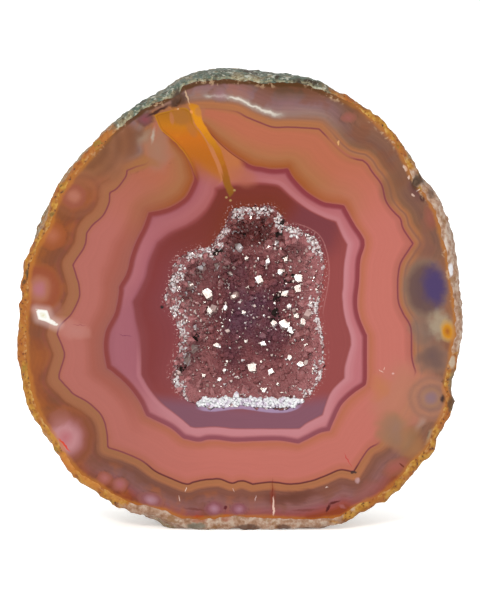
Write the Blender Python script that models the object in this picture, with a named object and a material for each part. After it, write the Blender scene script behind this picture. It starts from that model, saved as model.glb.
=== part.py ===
"""Half of an agate nodule, sawn and polished on its front, with a hollow lined by quartz crystals.

It stands upright on a flat of its own rind. Metres, +Z up, the polished face looks along -Y, and the
origin is on the ground under the middle of the stone.
"""

import math
import random

import bmesh
import bpy
from mathutils import Vector, noise

MM = 0.001

# The stone: how deep the half is, and where the middle of its polished face lies
DEPTH = 46.0 * MM
CUT_Y = -DEPTH / 2
CENTRE = Vector((0.0, CUT_Y, 45.0 * MM))
BACK_FULLNESS = 2.35
BACK_RADIUS = 45.0 * MM

# Edge of the polished face, clockwise from the top: millimetres right of the middle, and above the ground
FACE_EDGE = [
    (-3.2, 90.0), (4.2, 89.4), (12.2, 89.2), (17.8, 87.2), (24.4, 83.4), (29.4, 78.6), (32.6, 73.4),
    (34.6, 69.4), (37.6, 65.6), (39.8, 59.0), (41.6, 49.6), (42.6, 40.2), (41.8, 36.6), (40.4, 29.2),
    (41.0, 26.4), (37.8, 19.8), (36.4, 16.8), (33.6, 14.6), (28.6, 9.0), (22.4, 5.2), (19.8, 3.2),
    (15.8, 2.6), (6.8, 2.6), (-2.2, 2.8), (-8.2, 2.2), (-12.6, 2.8), (-15.8, 4.2), (-21.4, 5.8),
    (-28.4, 10.6), (-32.2, 13.4), (-35.8, 18.2), (-40.6, 24.4), (-42.6, 33.2), (-42.4, 46.2),
    (-42.0, 53.2), (-37.8, 61.8), (-36.2, 66.6), (-32.2, 72.2), (-28.2, 76.6), (-20.6, 83.4),
    (-14.8, 86.4), (-10.6, 89.0),
]

# The rough rim round the polished face: millimetres wide, every 15 degrees from the right over the top
RIM_WIDTHS = [
    1.7, 2.4, 2.0, 1.3, 1.0, 1.6, 2.6, 2.1, 1.6, 1.4, 1.4, 1.2,
    1.8, 2.0, 1.6, 1.7, 2.1, 2.1, 2.8, 2.3, 1.7, 1.9, 1.5, 1.8,
]
# How far behind the face the rim is widest. Round the top and on the right the rind slopes far back
RIM_DEPTH = 1.5 * MM
RIM_SLOPES = [(97.0, 32.0, 7.5 * MM), (14.0, 34.0, 3.0 * MM)]

# The stone swells under itself, and the ground is its seat: middle and half width in degrees, and height
SWELLING = (268.0, 33.0, 8.0 * MM)

# Lumps of the rind: how tall and how far apart
LUMPS = [(1.9 * MM, 14.0 * MM), (1.2 * MM, 6.5 * MM)]

# Chips out of the rim: middle, half sizes, and turn about the direction of view in degrees
CHIPS = [
    ((-12.9 * MM, CUT_Y, 86.8 * MM), (1.2 * MM, 2.6 * MM, 2.3 * MM), 8.0),
    ((35.4 * MM, CUT_Y, 70.6 * MM), (1.1 * MM, 1.8 * MM, 2.6 * MM), 32.0),
]

# Edge of the hollow in the polished face, in the same terms as the face's
HOLLOW_EDGE = [
    (-1.8, 64.4), (3.4, 64.8), (5.8, 65.2), (9.4, 61.4), (14.6, 58.8), (16.1, 55.4), (15.8, 47.0),
    (15.4, 43.2), (16.5, 36.4), (15.6, 30.4), (12.0, 25.8), (9.8, 24.6), (0.0, 25.1), (-8.6, 25.0),
    (-13.4, 29.2), (-14.0, 31.2), (-12.4, 37.0), (-13.0, 41.8), (-15.2, 46.6), (-14.2, 50.4),
    (-12.8, 54.6), (-9.4, 56.4), (-6.0, 57.4), (-3.4, 61.0),
]
HOLLOW_DEPTH = 17.0 * MM
HOLLOW_FULLNESS = 2.6

# The crust of crystals in the hollow
FIT_GAP = 0.5 * MM
SAWN_RIM_WIDTH = 1.3 * MM
CRUST_THICKNESS = 1.8 * MM
CRYSTAL_LENGTH = (0.3 * MM, 2.1 * MM)
CRYSTAL_CLEARANCE = 0.15 * MM
CRYSTAL_SEED = 7

# How finely each form is divided
AROUND = 92
HOLLOW_RINGS = 8
RIM_RINGS = 2
BACK_RINGS = 20
CRUST_DIVISIONS = 4
CRYSTAL_SHARE = 0.78
RIM_SHARE = 0.06
CRYSTAL_JITTER = 0.34


def polar_of(outline):
    """The outline's points as (angle, radius) round the middle of the face, in order of angle."""
    centre_x, centre_z = CENTRE.x / MM, CENTRE.z / MM
    return sorted(
        (math.atan2(z - centre_z, x - centre_x), math.hypot(x - centre_x, z - centre_z) * MM)
        for x, z in outline
    )


def reach(points, angle):
    """How far a polar outline reaches at this angle, on a smooth curve through its points."""
    count = len(points)
    after = next((i for i, (a, _) in enumerate(points) if a > angle), count)
    knots = []
    for i in range(after - 2, after + 2):
        turns, k = divmod(i, count)
        knots.append((points[k][0] + turns * math.tau, points[k][1]))
    (a0, r0), (a1, r1), (a2, r2), (a3, r3) = knots
    step = a2 - a1
    t = (angle - a1) / step
    start_slope = (r2 - r0) / (a2 - a0) * step
    end_slope = (r3 - r1) / (a3 - a1) * step
    return (
        r1 * (2 * t**3 - 3 * t**2 + 1)
        + start_slope * (t**3 - 2 * t**2 + t)
        + r2 * (3 * t**2 - 2 * t**3)
        + end_slope * (t**3 - t**2)
    )


FACE_POLAR = polar_of(FACE_EDGE)
HOLLOW_POLAR = polar_of(HOLLOW_EDGE)


def hump(angle, middle, half_width, height):
    """A smooth hump of this height round an angle in degrees, 0 past its half width."""
    away = abs((math.degrees(angle) - middle + 180) % 360 - 180) / half_width
    return height * math.cos(min(away, 1.0) * math.pi / 2) ** 2


def rim_width(angle):
    """The rough rim's width at this angle."""
    steps = angle / math.tau % 1 * len(RIM_WIDTHS)
    low = int(steps)
    share = steps - low
    high = (low + 1) % len(RIM_WIDTHS)
    return (RIM_WIDTHS[low] * (1 - share) + RIM_WIDTHS[high] * share) * MM


def rim_depth(angle):
    return RIM_DEPTH + sum(hump(angle, *slope) for slope in RIM_SLOPES)


def place(angle, radius, depth):
    return CENTRE + Vector((math.cos(angle) * radius, depth, math.sin(angle) * radius))


def bowl(turn, fullness):
    """(share of the radius, share of the depth) of a rounded bowl, from its rim at 0 to its floor at 1."""
    across = max(math.cos(turn * math.pi / 2), 0.0) ** (2 / fullness)
    deep = math.sin(turn * math.pi / 2) ** (2 / fullness)
    return across, deep


def rim_point(angle, turn):
    """A point of the rough rim, from the polished edge at turn 0 to the rim's widest place at turn 1."""
    out = math.sin(turn * math.pi / 2)
    back = 1 - math.cos(turn * math.pi / 2)
    return place(angle, reach(FACE_POLAR, angle) + rim_width(angle) * out, rim_depth(angle) * back)


def back_point(angle, turn):
    """A point of the rind behind the rim, from the widest place at turn 0 to the middle of the back at 1."""
    across, deep = bowl(turn, BACK_FULLNESS)
    start = rim_depth(angle)
    under = hump(angle, *SWELLING) * (4 * deep * (1 - deep)) ** 0.7
    rim_radius = reach(FACE_POLAR, angle) + rim_width(angle)
    radius = (rim_radius * (1 - deep) + BACK_RADIUS * deep + under) * across
    point = place(angle, radius, start + (DEPTH - start) * deep)
    height = sum(tall * noise.noise(point / apart) for tall, apart in LUMPS) * min(4 * deep, 1.0)
    return point + (point - CENTRE).normalized() * height


def hollow_point(angle, turn, inset):
    """A point of the hollow's wall, from its edge at turn 0 to its floor at turn 1, set in by inset."""
    across, deep = bowl(turn, HOLLOW_FULLNESS)
    radius = max(reach(HOLLOW_POLAR, angle) - inset, 0.0) * across
    return place(angle, radius, deep * (HOLLOW_DEPTH - inset))


def stone_point(angle, ring):
    """The stone's skin in one run: the hollow's floor and edge, the polished face, the rim and the back."""
    if ring <= HOLLOW_RINGS:
        return hollow_point(angle, 1 - ring / HOLLOW_RINGS, 0.0)
    ring -= HOLLOW_RINGS + 1
    if ring < RIM_RINGS:
        point = rim_point(angle, ring / RIM_RINGS)
    else:
        point = back_point(angle, (ring - RIM_RINGS) / BACK_RINGS)
    point.z = max(point.z, 0.0)
    return point


def link_mesh(name, bm, collection):
    mesh = bpy.data.meshes.new(name)
    bm.to_mesh(mesh)
    bm.free()
    obj = bpy.data.objects.new(name, mesh)
    collection.objects.link(obj)
    return obj


def give_material(obj, colour, roughness):
    """The object's own Principled material."""
    material = bpy.data.materials.new(obj.name)
    material.use_nodes = True
    shader = material.node_tree.nodes["Principled BSDF"]
    shader.inputs["Base Color"].default_value = (*colour, 1.0)
    shader.inputs["Roughness"].default_value = roughness
    shader.inputs["Metallic"].default_value = 0.0
    obj.data.materials.append(material)


def build_stone(collection):
    """The agate with its rind: a ball whose rings are laid along the hollow, the face, the rim and the back."""
    rings = HOLLOW_RINGS + 1 + RIM_RINGS + BACK_RINGS
    bm = bmesh.new()
    bmesh.ops.create_uvsphere(bm, u_segments=AROUND, v_segments=rings, radius=1.0)
    for vertex in bm.verts:
        x, y, z = vertex.co
        ring = round(math.acos(max(-1.0, min(1.0, z))) / math.pi * rings)
        vertex.co = stone_point(math.atan2(y, x), ring)
    bmesh.ops.recalc_face_normals(bm, faces=bm.faces)
    stone = link_mesh("agate_nodule", bm, collection)
    give_material(stone, (0.50, 0.15, 0.10), 0.25)
    stone.data.shade_smooth()
    stone.data.set_sharp_from_angle(angle=math.radians(40))
    return stone


def chip_rim(stone, cutters):
    """The two chips broken out of the rim, each cut by an egg-shaped cutter."""
    for number, (middle, half_sizes, turn) in enumerate(CHIPS, start=1):
        bm = bmesh.new()
        bmesh.ops.create_icosphere(bm, subdivisions=2, radius=1.0)
        cutter = link_mesh(f"chip_{number}", bm, cutters)
        cutter.location = middle
        cutter.rotation_euler = (0.0, math.radians(turn), 0.0)
        cutter.scale = half_sizes
        cutter.hide_render = True
        cutter.display_type = "WIRE"
        cut = stone.modifiers.new(cutter.name, "BOOLEAN")
        cut.operation = "DIFFERENCE"
        cut.solver = "EXACT"
        cut.object = cutter


def crust_point(direction):
    """Where a point of a ball goes on the crust: its back lines the hollow, the rest is the crystals' bed."""
    angle = math.atan2(direction.z, direction.x)
    bed_starts = 2 * CRYSTAL_SHARE - 1
    if direction.y >= bed_starts:
        share = (direction.y - bed_starts) / (1 - bed_starts)
        return hollow_point(angle, math.asin(share) / (math.pi / 2), FIT_GAP)
    share = (bed_starts - direction.y) / (bed_starts + 1)
    if share < RIM_SHARE:
        return hollow_point(angle, 0.0, FIT_GAP + SAWN_RIM_WIDTH * share / RIM_SHARE)
    deep = (share - RIM_SHARE) / (1 - RIM_SHARE)
    inset = FIT_GAP + SAWN_RIM_WIDTH + (CRUST_THICKNESS - SAWN_RIM_WIDTH) * deep
    return hollow_point(angle, math.asin(min(deep, 1.0)) / (math.pi / 2), inset)


def is_bed(face):
    """Whether a face of the crust looks into the hollow, and lies behind the sawn rim."""
    middle = face.calc_center_median()
    to_mouth = CENTRE + Vector((0.0, 0.25 * HOLLOW_DEPTH, 0.0)) - middle
    return middle.y > CUT_Y + CRYSTAL_CLEARANCE and face.normal.dot(to_mouth) > 0


def build_crust(collection):
    """The crust of quartz: a bowl whose inside is three-sided crystal points, each of another length."""
    rng = random.Random(CRYSTAL_SEED)
    bm = bmesh.new()
    bmesh.ops.create_icosphere(bm, subdivisions=CRUST_DIVISIONS, radius=1.0)
    cell = math.sqrt(4 * math.pi / len(bm.faces))
    for vertex in bm.verts:
        direction = vertex.co.normalized()
        if direction.y < 2 * CRYSTAL_SHARE - 1 - 2 * cell:
            direction += Vector(rng.uniform(-1, 1) for _ in range(3)) * cell * CRYSTAL_JITTER
        vertex.co = crust_point(direction.normalized())
    bmesh.ops.recalc_face_normals(bm, faces=bm.faces)
    for face in [face for face in bm.faces if is_bed(face)]:
        normal = face.normal.copy()
        tip = bmesh.ops.poke(bm, faces=[face])["verts"][0]
        tip.co += normal * rng.uniform(*CRYSTAL_LENGTH)
        tip.co.y = max(tip.co.y, CUT_Y + CRYSTAL_CLEARANCE)
    crust = link_mesh("crystal_crust", bm, collection)
    give_material(crust, (0.23, 0.09, 0.10), 0.12)


def main():
    for old in list(bpy.data.objects):
        bpy.data.objects.remove(old)
    pieces = bpy.data.collections.new("agate nodule")
    cutters = bpy.data.collections.new("cutters")
    bpy.context.scene.collection.children.link(pieces)
    bpy.context.scene.collection.children.link(cutters)
    stone = build_stone(pieces)
    chip_rim(stone, cutters)
    build_crust(pieces)


main()
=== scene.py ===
import math
import random

import bmesh
import bpy
import numpy as np
from mathutils import Matrix, Vector, noise
from mathutils.bvhtree import BVHTree


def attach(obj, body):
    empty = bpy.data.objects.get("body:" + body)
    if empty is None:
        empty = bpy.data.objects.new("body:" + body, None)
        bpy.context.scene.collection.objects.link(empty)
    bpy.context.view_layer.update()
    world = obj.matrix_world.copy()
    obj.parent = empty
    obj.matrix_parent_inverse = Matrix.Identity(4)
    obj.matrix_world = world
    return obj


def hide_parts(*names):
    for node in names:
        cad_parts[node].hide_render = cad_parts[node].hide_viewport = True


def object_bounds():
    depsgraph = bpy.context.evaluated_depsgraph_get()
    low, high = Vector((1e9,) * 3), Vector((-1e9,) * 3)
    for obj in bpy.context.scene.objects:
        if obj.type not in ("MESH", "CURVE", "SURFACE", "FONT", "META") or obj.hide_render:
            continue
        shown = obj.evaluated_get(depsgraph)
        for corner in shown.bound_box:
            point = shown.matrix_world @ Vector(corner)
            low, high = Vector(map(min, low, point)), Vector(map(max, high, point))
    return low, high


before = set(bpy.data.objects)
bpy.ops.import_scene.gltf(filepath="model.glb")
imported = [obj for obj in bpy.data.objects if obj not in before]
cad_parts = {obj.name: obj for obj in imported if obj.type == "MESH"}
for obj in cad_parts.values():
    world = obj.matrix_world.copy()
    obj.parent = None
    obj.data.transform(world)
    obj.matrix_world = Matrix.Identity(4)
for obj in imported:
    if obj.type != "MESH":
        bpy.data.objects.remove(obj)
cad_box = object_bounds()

MM = 0.001

# The stone, as the solids have it: how deep the half is, and where the middle of its polished face lies
DEPTH = 46.0 * MM
CUT_Y = -DEPTH / 2
CENTRE = np.array((0.0, CUT_Y, 45.0 * MM))
BACK_FULLNESS = 2.35
BACK_RADIUS = 45.0 * MM

# Edge of the polished face, clockwise from the top: millimetres right of the middle, and above the ground
FACE_EDGE = [
    (-3.2, 90.0), (4.2, 89.4), (12.2, 89.2), (17.8, 87.2), (24.4, 83.4), (29.4, 78.6), (32.6, 73.4),
    (34.6, 69.4), (37.6, 65.6), (39.8, 59.0), (41.6, 49.6), (42.6, 40.2), (41.8, 36.6), (40.4, 29.2),
    (41.0, 26.4), (37.8, 19.8), (36.4, 16.8), (33.6, 14.6), (28.6, 9.0), (22.4, 5.2), (19.8, 3.2),
    (15.8, 2.6), (6.8, 2.6), (-2.2, 2.8), (-8.2, 2.2), (-12.6, 2.8), (-15.8, 4.2), (-21.4, 5.8),
    (-28.4, 10.6), (-32.2, 13.4), (-35.8, 18.2), (-40.6, 24.4), (-42.6, 33.2), (-42.4, 46.2),
    (-42.0, 53.2), (-37.8, 61.8), (-36.2, 66.6), (-32.2, 72.2), (-28.2, 76.6), (-20.6, 83.4),
    (-14.8, 86.4), (-10.6, 89.0),
]

# The rough rim round the polished face: millimetres wide, every 15 degrees from the right over the top
RIM_WIDTHS = [
    1.7, 2.4, 2.0, 1.3, 1.0, 1.6, 2.6, 2.1, 1.6, 1.4, 1.4, 1.2,
    1.8, 2.0, 1.6, 1.7, 2.1, 2.1, 2.8, 2.3, 1.7, 1.9, 1.5, 1.8,
]
RIM_DEPTH = 1.5 * MM
RIM_SLOPES = [(97.0, 32.0, 7.5 * MM), (14.0, 34.0, 3.0 * MM)]
SWELLING = (268.0, 33.0, 8.0 * MM)
EDGE_SWELLINGS = [(226.0, 22.0, 1.3 * MM), (312.0, 24.0, 0.9 * MM)]
LUMPS = [(1.9 * MM, 14.0 * MM), (1.2 * MM, 6.5 * MM)]

# How ragged the polished face's edges are, and how knobbly the rind: how high, and how far apart
EDGE_RAG = [(0.34 * MM, 2.2 * MM), (0.30 * MM, 1.0 * MM)]
HOLLOW_RAG = [(0.50 * MM, 1.1 * MM), (0.30 * MM, 0.5 * MM)]
KNOBS = [(0.42 * MM, 2.4 * MM), (0.30 * MM, 1.0 * MM)]
KNOB_LEVEL = 0.10
RAG_RINGS = 4
SHARP_EDGE = 38

# Chips out of the rim: middle, half sizes, and turn about the direction of view in degrees
CHIPS = [
    ((-12.9 * MM, CUT_Y, 86.8 * MM), (1.2 * MM, 2.6 * MM, 2.3 * MM), 8.0),
    ((35.4 * MM, CUT_Y, 70.6 * MM), (1.1 * MM, 1.8 * MM, 2.6 * MM), 32.0),
]

# Edge of the hollow in the polished face, in the same terms as the face's
HOLLOW_EDGE = [
    (-1.8, 64.4), (3.4, 64.8), (5.8, 65.2), (9.4, 61.4), (14.6, 58.8), (16.1, 55.4), (15.8, 47.0),
    (15.4, 43.2), (16.5, 36.4), (15.6, 30.4), (12.0, 25.8), (9.8, 24.6), (0.0, 25.1), (-8.6, 25.0),
    (-13.4, 29.2), (-14.0, 31.2), (-12.4, 37.0), (-13.0, 41.8), (-15.2, 46.6), (-14.2, 50.4),
    (-12.8, 54.6), (-9.4, 56.4), (-6.0, 57.4), (-3.4, 61.0),
]
HOLLOW_DEPTH = 17.0 * MM
HOLLOW_FULLNESS = 2.6
FIT_GAP = 0.5 * MM
CRUST_THICKNESS = 1.8 * MM
CRUST_OVERLAP = 0.4 * MM
CRUST_SET_BACK = 0.15 * MM

# Contours of the bands on the polished face, in the same terms. A contour is a ring of smooth runs that
# meet in the points between its scallops, each run beginning where the one before it ends
PURPLE_LINE = [
    [(-16.8, 82.8), (-9.0, 84.4), (-1.8, 84.0), (1.0, 82.8), (3.4, 81.8), (6.2, 80.8), (9.2, 80.8),
     (13.2, 80.6)],
    [(15.4, 80.4), (16.8, 79.0), (18.0, 77.6), (19.4, 76.2), (21.0, 75.0), (22.8, 74.4)],
    [(24.0, 74.2), (25.0, 73.4), (26.0, 71.8), (27.8, 69.4), (28.6, 66.4), (29.4, 65.0)],
    [(30.6, 63.6), (31.6, 62.6), (32.0, 61.0), (32.8, 59.6)],
    [(34.2, 57.6), (33.2, 56.2), (31.4, 52.8), (31.2, 46.8), (32.2, 43.8), (33.8, 40.8), (34.0, 35.2)],
    [(34.8, 32.0), (33.4, 27.8), (31.4, 23.8), (28.6, 19.8), (27.6, 17.8), (25.6, 16.6), (24.0, 14.4)],
    [(22.4, 11.8), (20.8, 12.2), (19.4, 12.2), (16.6, 11.0), (13.8, 10.0), (10.0, 9.4), (6.0, 9.8)],
    [(2.2, 9.4), (0.6, 10.0)],
    [(-0.6, 10.0), (-2.0, 9.6), (-4.2, 10.4), (-6.0, 10.4), (-7.8, 10.2)],
    [(-9.6, 9.8), (-11.0, 9.4), (-13.8, 10.4), (-17.2, 12.0), (-19.8, 14.0), (-23.2, 15.6)],
    [(-26.8, 16.8), (-27.0, 20.0), (-28.0, 23.2), (-30.6, 25.8), (-33.4, 27.4), (-34.6, 28.6)],
    [(-36.4, 30.6), (-36.4, 31.8), (-35.4, 35.0), (-35.6, 36.6)],
    [(-36.8, 39.6), (-36.2, 41.4), (-34.0, 43.6), (-32.4, 46.8), (-32.4, 49.2), (-32.8, 50.8)],
    [(-33.6, 53.4), (-32.6, 55.0), (-31.2, 57.2)],
    [(-30.8, 59.8), (-29.6, 61.4), (-27.6, 63.2), (-26.4, 65.6)],
    [(-26.2, 67.8), (-24.6, 68.8), (-23.0, 71.0)],
    [(-22.8, 72.2), (-20.8, 73.0), (-18.6, 73.8), (-17.8, 76.2), (-18.2, 78.6), (-17.6, 81.0)],
]
MAROON_LINE = [
    [(-7.6, 81.2), (-4.6, 77.8), (-1.6, 75.2), (1.8, 73.2), (3.8, 72.8), (5.8, 72.4), (7.8, 72.4)],
    [(9.2, 72.6), (10.2, 70.8), (12.8, 68.0), (16.0, 66.0), (17.8, 65.6), (19.4, 65.4)],
    [(20.4, 65.2), (21.0, 64.0), (22.6, 61.2), (23.6, 59.8)],
    [(24.4, 58.4), (24.4, 57.0), (23.6, 54.2), (23.4, 50.2), (23.0, 46.2), (23.4, 43.2), (24.6, 40.2)],
    [(25.0, 39.4), (25.0, 35.0), (25.0, 31.0)],
    [(24.8, 29.4), (22.2, 27.6), (20.0, 25.4), (18.6, 22.6)],
    [(17.6, 20.2), (15.8, 19.8), (13.0, 18.4)],
    [(11.4, 17.6), (7.8, 18.2), (4.2, 18.2), (-1.2, 18.0), (-4.8, 18.4), (-6.8, 18.4), (-8.6, 18.0)],
    [(-11.6, 18.6), (-14.2, 20.8), (-17.8, 22.6)],
    [(-19.0, 23.2), (-20.4, 26.2), (-22.6, 29.2), (-25.4, 31.8)],
    [(-26.8, 32.8), (-27.4, 36.6), (-27.0, 40.2), (-25.2, 43.8), (-24.4, 47.6)],
    [(-24.4, 49.0), (-22.8, 51.8), (-22.0, 55.0), (-20.8, 58.2), (-19.4, 61.0)],
    [(-18.4, 63.8), (-16.2, 64.2), (-14.2, 64.8), (-12.4, 65.8), (-10.8, 67.2), (-9.4, 70.2)],
    [(-9.6, 71.8), (-11.0, 75.2), (-13.8, 78.2), (-15.6, 80.0), (-12.0, 81.6)],
]
ROSE_INNER_EDGE = [
    [(-5.2, 68.6), (-1.2, 69.6), (2.8, 69.8), (6.8, 69.4)],
    [(8.0, 68.8), (10.4, 66.6), (13.4, 64.4), (16.6, 62.8)],
    [(18.8, 62.0), (20.0, 59.2)],
    [(21.0, 57.4), (20.4, 53.6), (20.2, 49.2), (20.0, 47.0), (20.6, 42.8), (21.6, 39.6)],
    [(21.8, 37.4), (20.6, 33.2)],
    [(20.5, 30.8), (18.0, 28.2), (16.8, 25.4)],
    [(16.2, 23.4), (14.2, 22.4), (12.8, 21.6)],
    [(11.6, 20.6), (7.2, 20.6), (2.8, 20.6), (-1.2, 20.6), (-5.2, 21.0), (-8.8, 20.8)],
    [(-10.2, 21.0), (-13.0, 23.4), (-16.0, 25.8), (-18.4, 28.6)],
    [(-20.0, 31.4), (-20.0, 35.0), (-20.2, 39.0), (-21.0, 42.6)],
    [(-21.6, 46.0), (-20.4, 48.0), (-19.0, 51.0), (-18.2, 54.2)],
    [(-16.6, 57.8), (-14.0, 59.8), (-10.4, 61.6), (-7.2, 64.2), (-5.4, 67.2)],
]

# The orange tube's two lobes, which meet in a pink seam, from the rind to where they end
TUBE_LEFT = [
    [(-17.3, 83.2), (-13.7, 84.1), (-11.6, 84.6)],
    [(-10.2, 84.0), (-9.8, 83.2), (-9.3, 81.3), (-8.0, 79.6), (-6.4, 77.1), (-5.5, 75.2), (-4.5, 72.9)],
    [(-3.8, 70.2), (-5.7, 68.4), (-8.2, 69.2)],
    [(-9.6, 72.0), (-10.2, 73.7), (-11.6, 75.9), (-13.7, 78.2), (-15.9, 80.1)],
]
TUBE_RIGHT = [
    [(-10.6, 85.5), (-8.3, 84.7)],
    [(-7.8, 82.0), (-6.0, 79.0), (-4.1, 76.3), (-3.0, 72.9), (-2.2, 69.9), (-1.5, 68.0)],
    [
        (-2.4, 66.7), (-3.0, 68.2), (-3.8, 70.2), (-4.5, 72.9), (-5.5, 75.2), (-6.4, 77.1), (-8.0, 79.6),
        (-9.3, 81.3), (-9.8, 83.2),
    ],
]

# A painted highlight on the left: a lamp's reflection in a small chip of the face, painted white, corner by
# corner
PAINTED_HIGHLIGHT_OUTLINE = [
    (-40.9, 44.6), (-38.7, 44.3), (-38.1, 42.7), (-36.4, 41.5), (-36.9, 41.2), (-38.9, 42.1), (-40.4, 42.6),
]

# How finely each form is divided
AROUND = 600
HOLLOW_RINGS = 6
FACE_RINGS = 52
RIM_RINGS = 10
BACK_RINGS = 88
BED_DIVISIONS = 6
BATCH = 60
CRYSTAL_COUNT = 900
SPARKLE_COUNT = 1000
FROST_COUNT = 1700
SNOW_COUNT = 1300

# Crystals that flash: millimetres right of the middle and above the ground, and radius. Their facets are
# turned so that they throw the soft box's light at the camera
FLASHES = [
    (11.4, 50.8, 0.75), (11.2, 48.8, 0.65), (8.6, 41.6, 0.75), (6.4, 41.8, 0.60), (9.6, 40.6, 0.50),
    (12.4, 42.2, 0.70), (3.6, 50.6, 0.70), (7.8, 52.2, 0.50), (8.6, 47.8, 0.60), (-6.8, 47.8, 0.65),
    (-10.4, 49.6, 0.70), (-9.8, 36.8, 0.60), (-5.0, 37.4, 0.55), (2.2, 32.8, 0.80), (5.8, 32.2, 0.60),
    (4.4, 28.4, 0.65), (11.8, 33.6, 0.60), (-0.6, 57.0, 0.65), (7.0, 58.0, 0.45), (4.2, 37.8, 0.50),
    (0.8, 38.2, 0.35), (10.0, 40.0, 0.35), (-5.0, 53.4, 0.45), (5.2, 54.2, 0.45), (8.8, 54.6, 0.40),
    (-8.2, 53.0, 0.45), (-11.2, 34.2, 0.60), (12.8, 37.4, 0.40), (9.6, 35.0, 0.45), (-1.6, 47.2, 0.50),
    (-6.4, 44.2, 0.60), (-3.2, 45.0, 0.40), (1.2, 49.0, 0.30), (9.4, 45.2, 0.40), (11.0, 43.4, 0.50),
    (-7.6, 31.4, 0.40), (-4.4, 30.6, 0.35), (0.4, 44.0, 0.30), (-9.4, 41.0, 0.40), (6.6, 45.8, 0.30),
    (-3.4, 32.4, 0.35), (7.2, 29.6, 0.30), (1.0, 54.8, 0.30), (-2.2, 51.8, 0.30), (-11.8, 46.2, 0.40),
]

# Milky facets that catch the light less, in the same terms
MILKY_FACETS = [
    (-7.9, 53.0, 0.60), (-3.4, 53.0, 0.50), (-1.5, 47.3, 0.90), (-5.7, 44.8, 0.75), (-9.6, 37.2, 0.70),
    (-11.0, 35.3, 0.70), (13.0, 56.4, 0.65), (13.2, 43.9, 0.80), (-12.6, 32.0, 0.70), (-6.8, 29.4, 0.45),
    (12.9, 34.0, 0.60), (10.4, 44.4, 0.50), (-2.8, 40.2, 0.45), (2.6, 45.2, 0.40), (6.0, 35.4, 0.45),
]

# Clusters of dark mineral grains, in the same terms
DARK_CLUSTERS = [
    (8.2, 61.9, 0.8), (7.5, 59.8, 1.1), (9.3, 50.6, 1.2), (7.6, 46.9, 1.0), (6.7, 43.8, 1.2),
    (-9.3, 39.0, 1.0), (-12.4, 32.9, 0.9), (-4.6, 56.1, 1.1), (9.2, 57.8, 0.5), (0.6, 59.4, 0.6),
]

# How frosty the edge of the hollow is: from and to in degrees, share of the grains, and width in millimetres
FROST_ARCS = [
    (0.0, 38.0, 0.55, 0.9), (38.0, 62.0, 0.90, 1.5), (62.0, 112.0, 1.00, 2.4), (112.0, 150.0, 1.00, 1.6),
    (150.0, 205.0, 0.90, 2.3), (205.0, 236.0, 0.80, 1.9), (236.0, 300.0, 0.25, 1.0),
    (300.0, 360.0, 0.55, 1.0),
]

# Brighter clumps of frost: millimetres right of the middle and above the ground, half sizes, and how many
# grains
FROST_CLUMPS = [
    (-1.8, 60.0, 1.3, 0.6, 40), (-8.8, 55.4, 1.3, 0.6, 44), (0.6, 63.2, 1.6, 0.8, 50),
    (5.2, 64.2, 0.9, 0.6, 24),
    (11.0, 59.8, 1.5, 0.7, 44), (14.4, 57.0, 0.8, 1.2, 30), (-13.4, 49.2, 0.8, 1.3, 40),
    (-12.0, 45.0, 1.3, 1.4, 60),
    (-11.0, 35.4, 0.7, 1.2, 26), (-12.4, 29.6, 0.8, 1.0, 26), (-4.6, 57.2, 1.2, 0.5, 26),
    (14.2, 45.0, 0.5, 1.8, 22),
    (14.6, 33.0, 0.5, 1.6, 22), (13.0, 28.0, 0.9, 0.9, 20),
]

# Radii of the crystals, the sparkles, the frost and its clumps, and heights of the bed's points, in
# millimetres
SMALL_RADII = (0.20, 0.40)
BIG_RADII = (0.45, 0.95)
SPARKLE_RADII = (0.07, 0.09, 0.11, 0.16, 0.24)
FROST_RADII = (0.07, 0.09, 0.11, 0.16, 0.28, 0.36)
CLUMP_RADII = (0.08, 0.12, 0.20, 0.30, 0.42)
POINT_HEIGHTS = (0.04, 0.20)

# Where the crust's bed starts on the ball that it is made from, and how far its points are shaken
BED_STARTS = 2 * 0.78 - 1
BED_SHAKE = 0.34

# Which of the crust's materials each kind of crystal has
BED, CLEAR, FROSTED, SNOWY, MILKY, DARK, FLASHING = range(7)

# The white crust along the hollow's floor: from and to across, and from and to in height, in millimetres
SNOW_ACROSS = (-8.8, 12.6)
SNOW_HEIGHTS = (24.9, 26.6)

# The camera: how far it stands from the face, how high it looks from, and how tall its frame is there
VIEW_DISTANCE = 500.0 * MM
VIEW_ELEVATION = 4.5
VIEW_TARGET = Vector((-0.3 * MM, CUT_Y, 45.9 * MM))
FRAME_HEIGHT = 120.3 * MM
SENSOR = 36.0

# The light: the white room, and the soft box that flashes on the crystals
ROOM_LIGHT = 1.25
BOX_PLACE = Vector((-0.145, -0.70, 0.40))
BOX_SIDE = 0.13
BOX_RADIANCE = 60.0
BOX_COLOUR = (1.0, 0.95, 0.87)
FLOOR_GLOW = 0.35

# How bright the face is lit, what the room adds to every colour as gloss, and how strong that gloss is
FACE_LIGHT = (1.86, 1.76, 1.73)
HAZE = 0.024
FACE_GLOSS = 0.13
QUARTZ_IOR = 1.54
CRYSTAL_GLOSS = 0.15
CRYSTAL_CLEARNESS = 0.45
FLASH_GLOSS = 0.12

# Where the rim shows the grey-green rind, and where it is pale: middle and half width in degrees
GREY_RIM = (96.0, 42.0, 1.0)
PALE_RIMS = [(12.0, 36.0, 1.0), (268.0, 40.0, 1.0)]


def polar_of(outline):
    """An outline's angles and radii round the middle of the face, in order of angle."""
    away = np.array(outline) * MM - CENTRE[[0, 2]]
    angles = np.arctan2(away[:, 1], away[:, 0])
    order = np.argsort(angles)
    return angles[order], np.hypot(away[:, 0], away[:, 1])[order]


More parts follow.
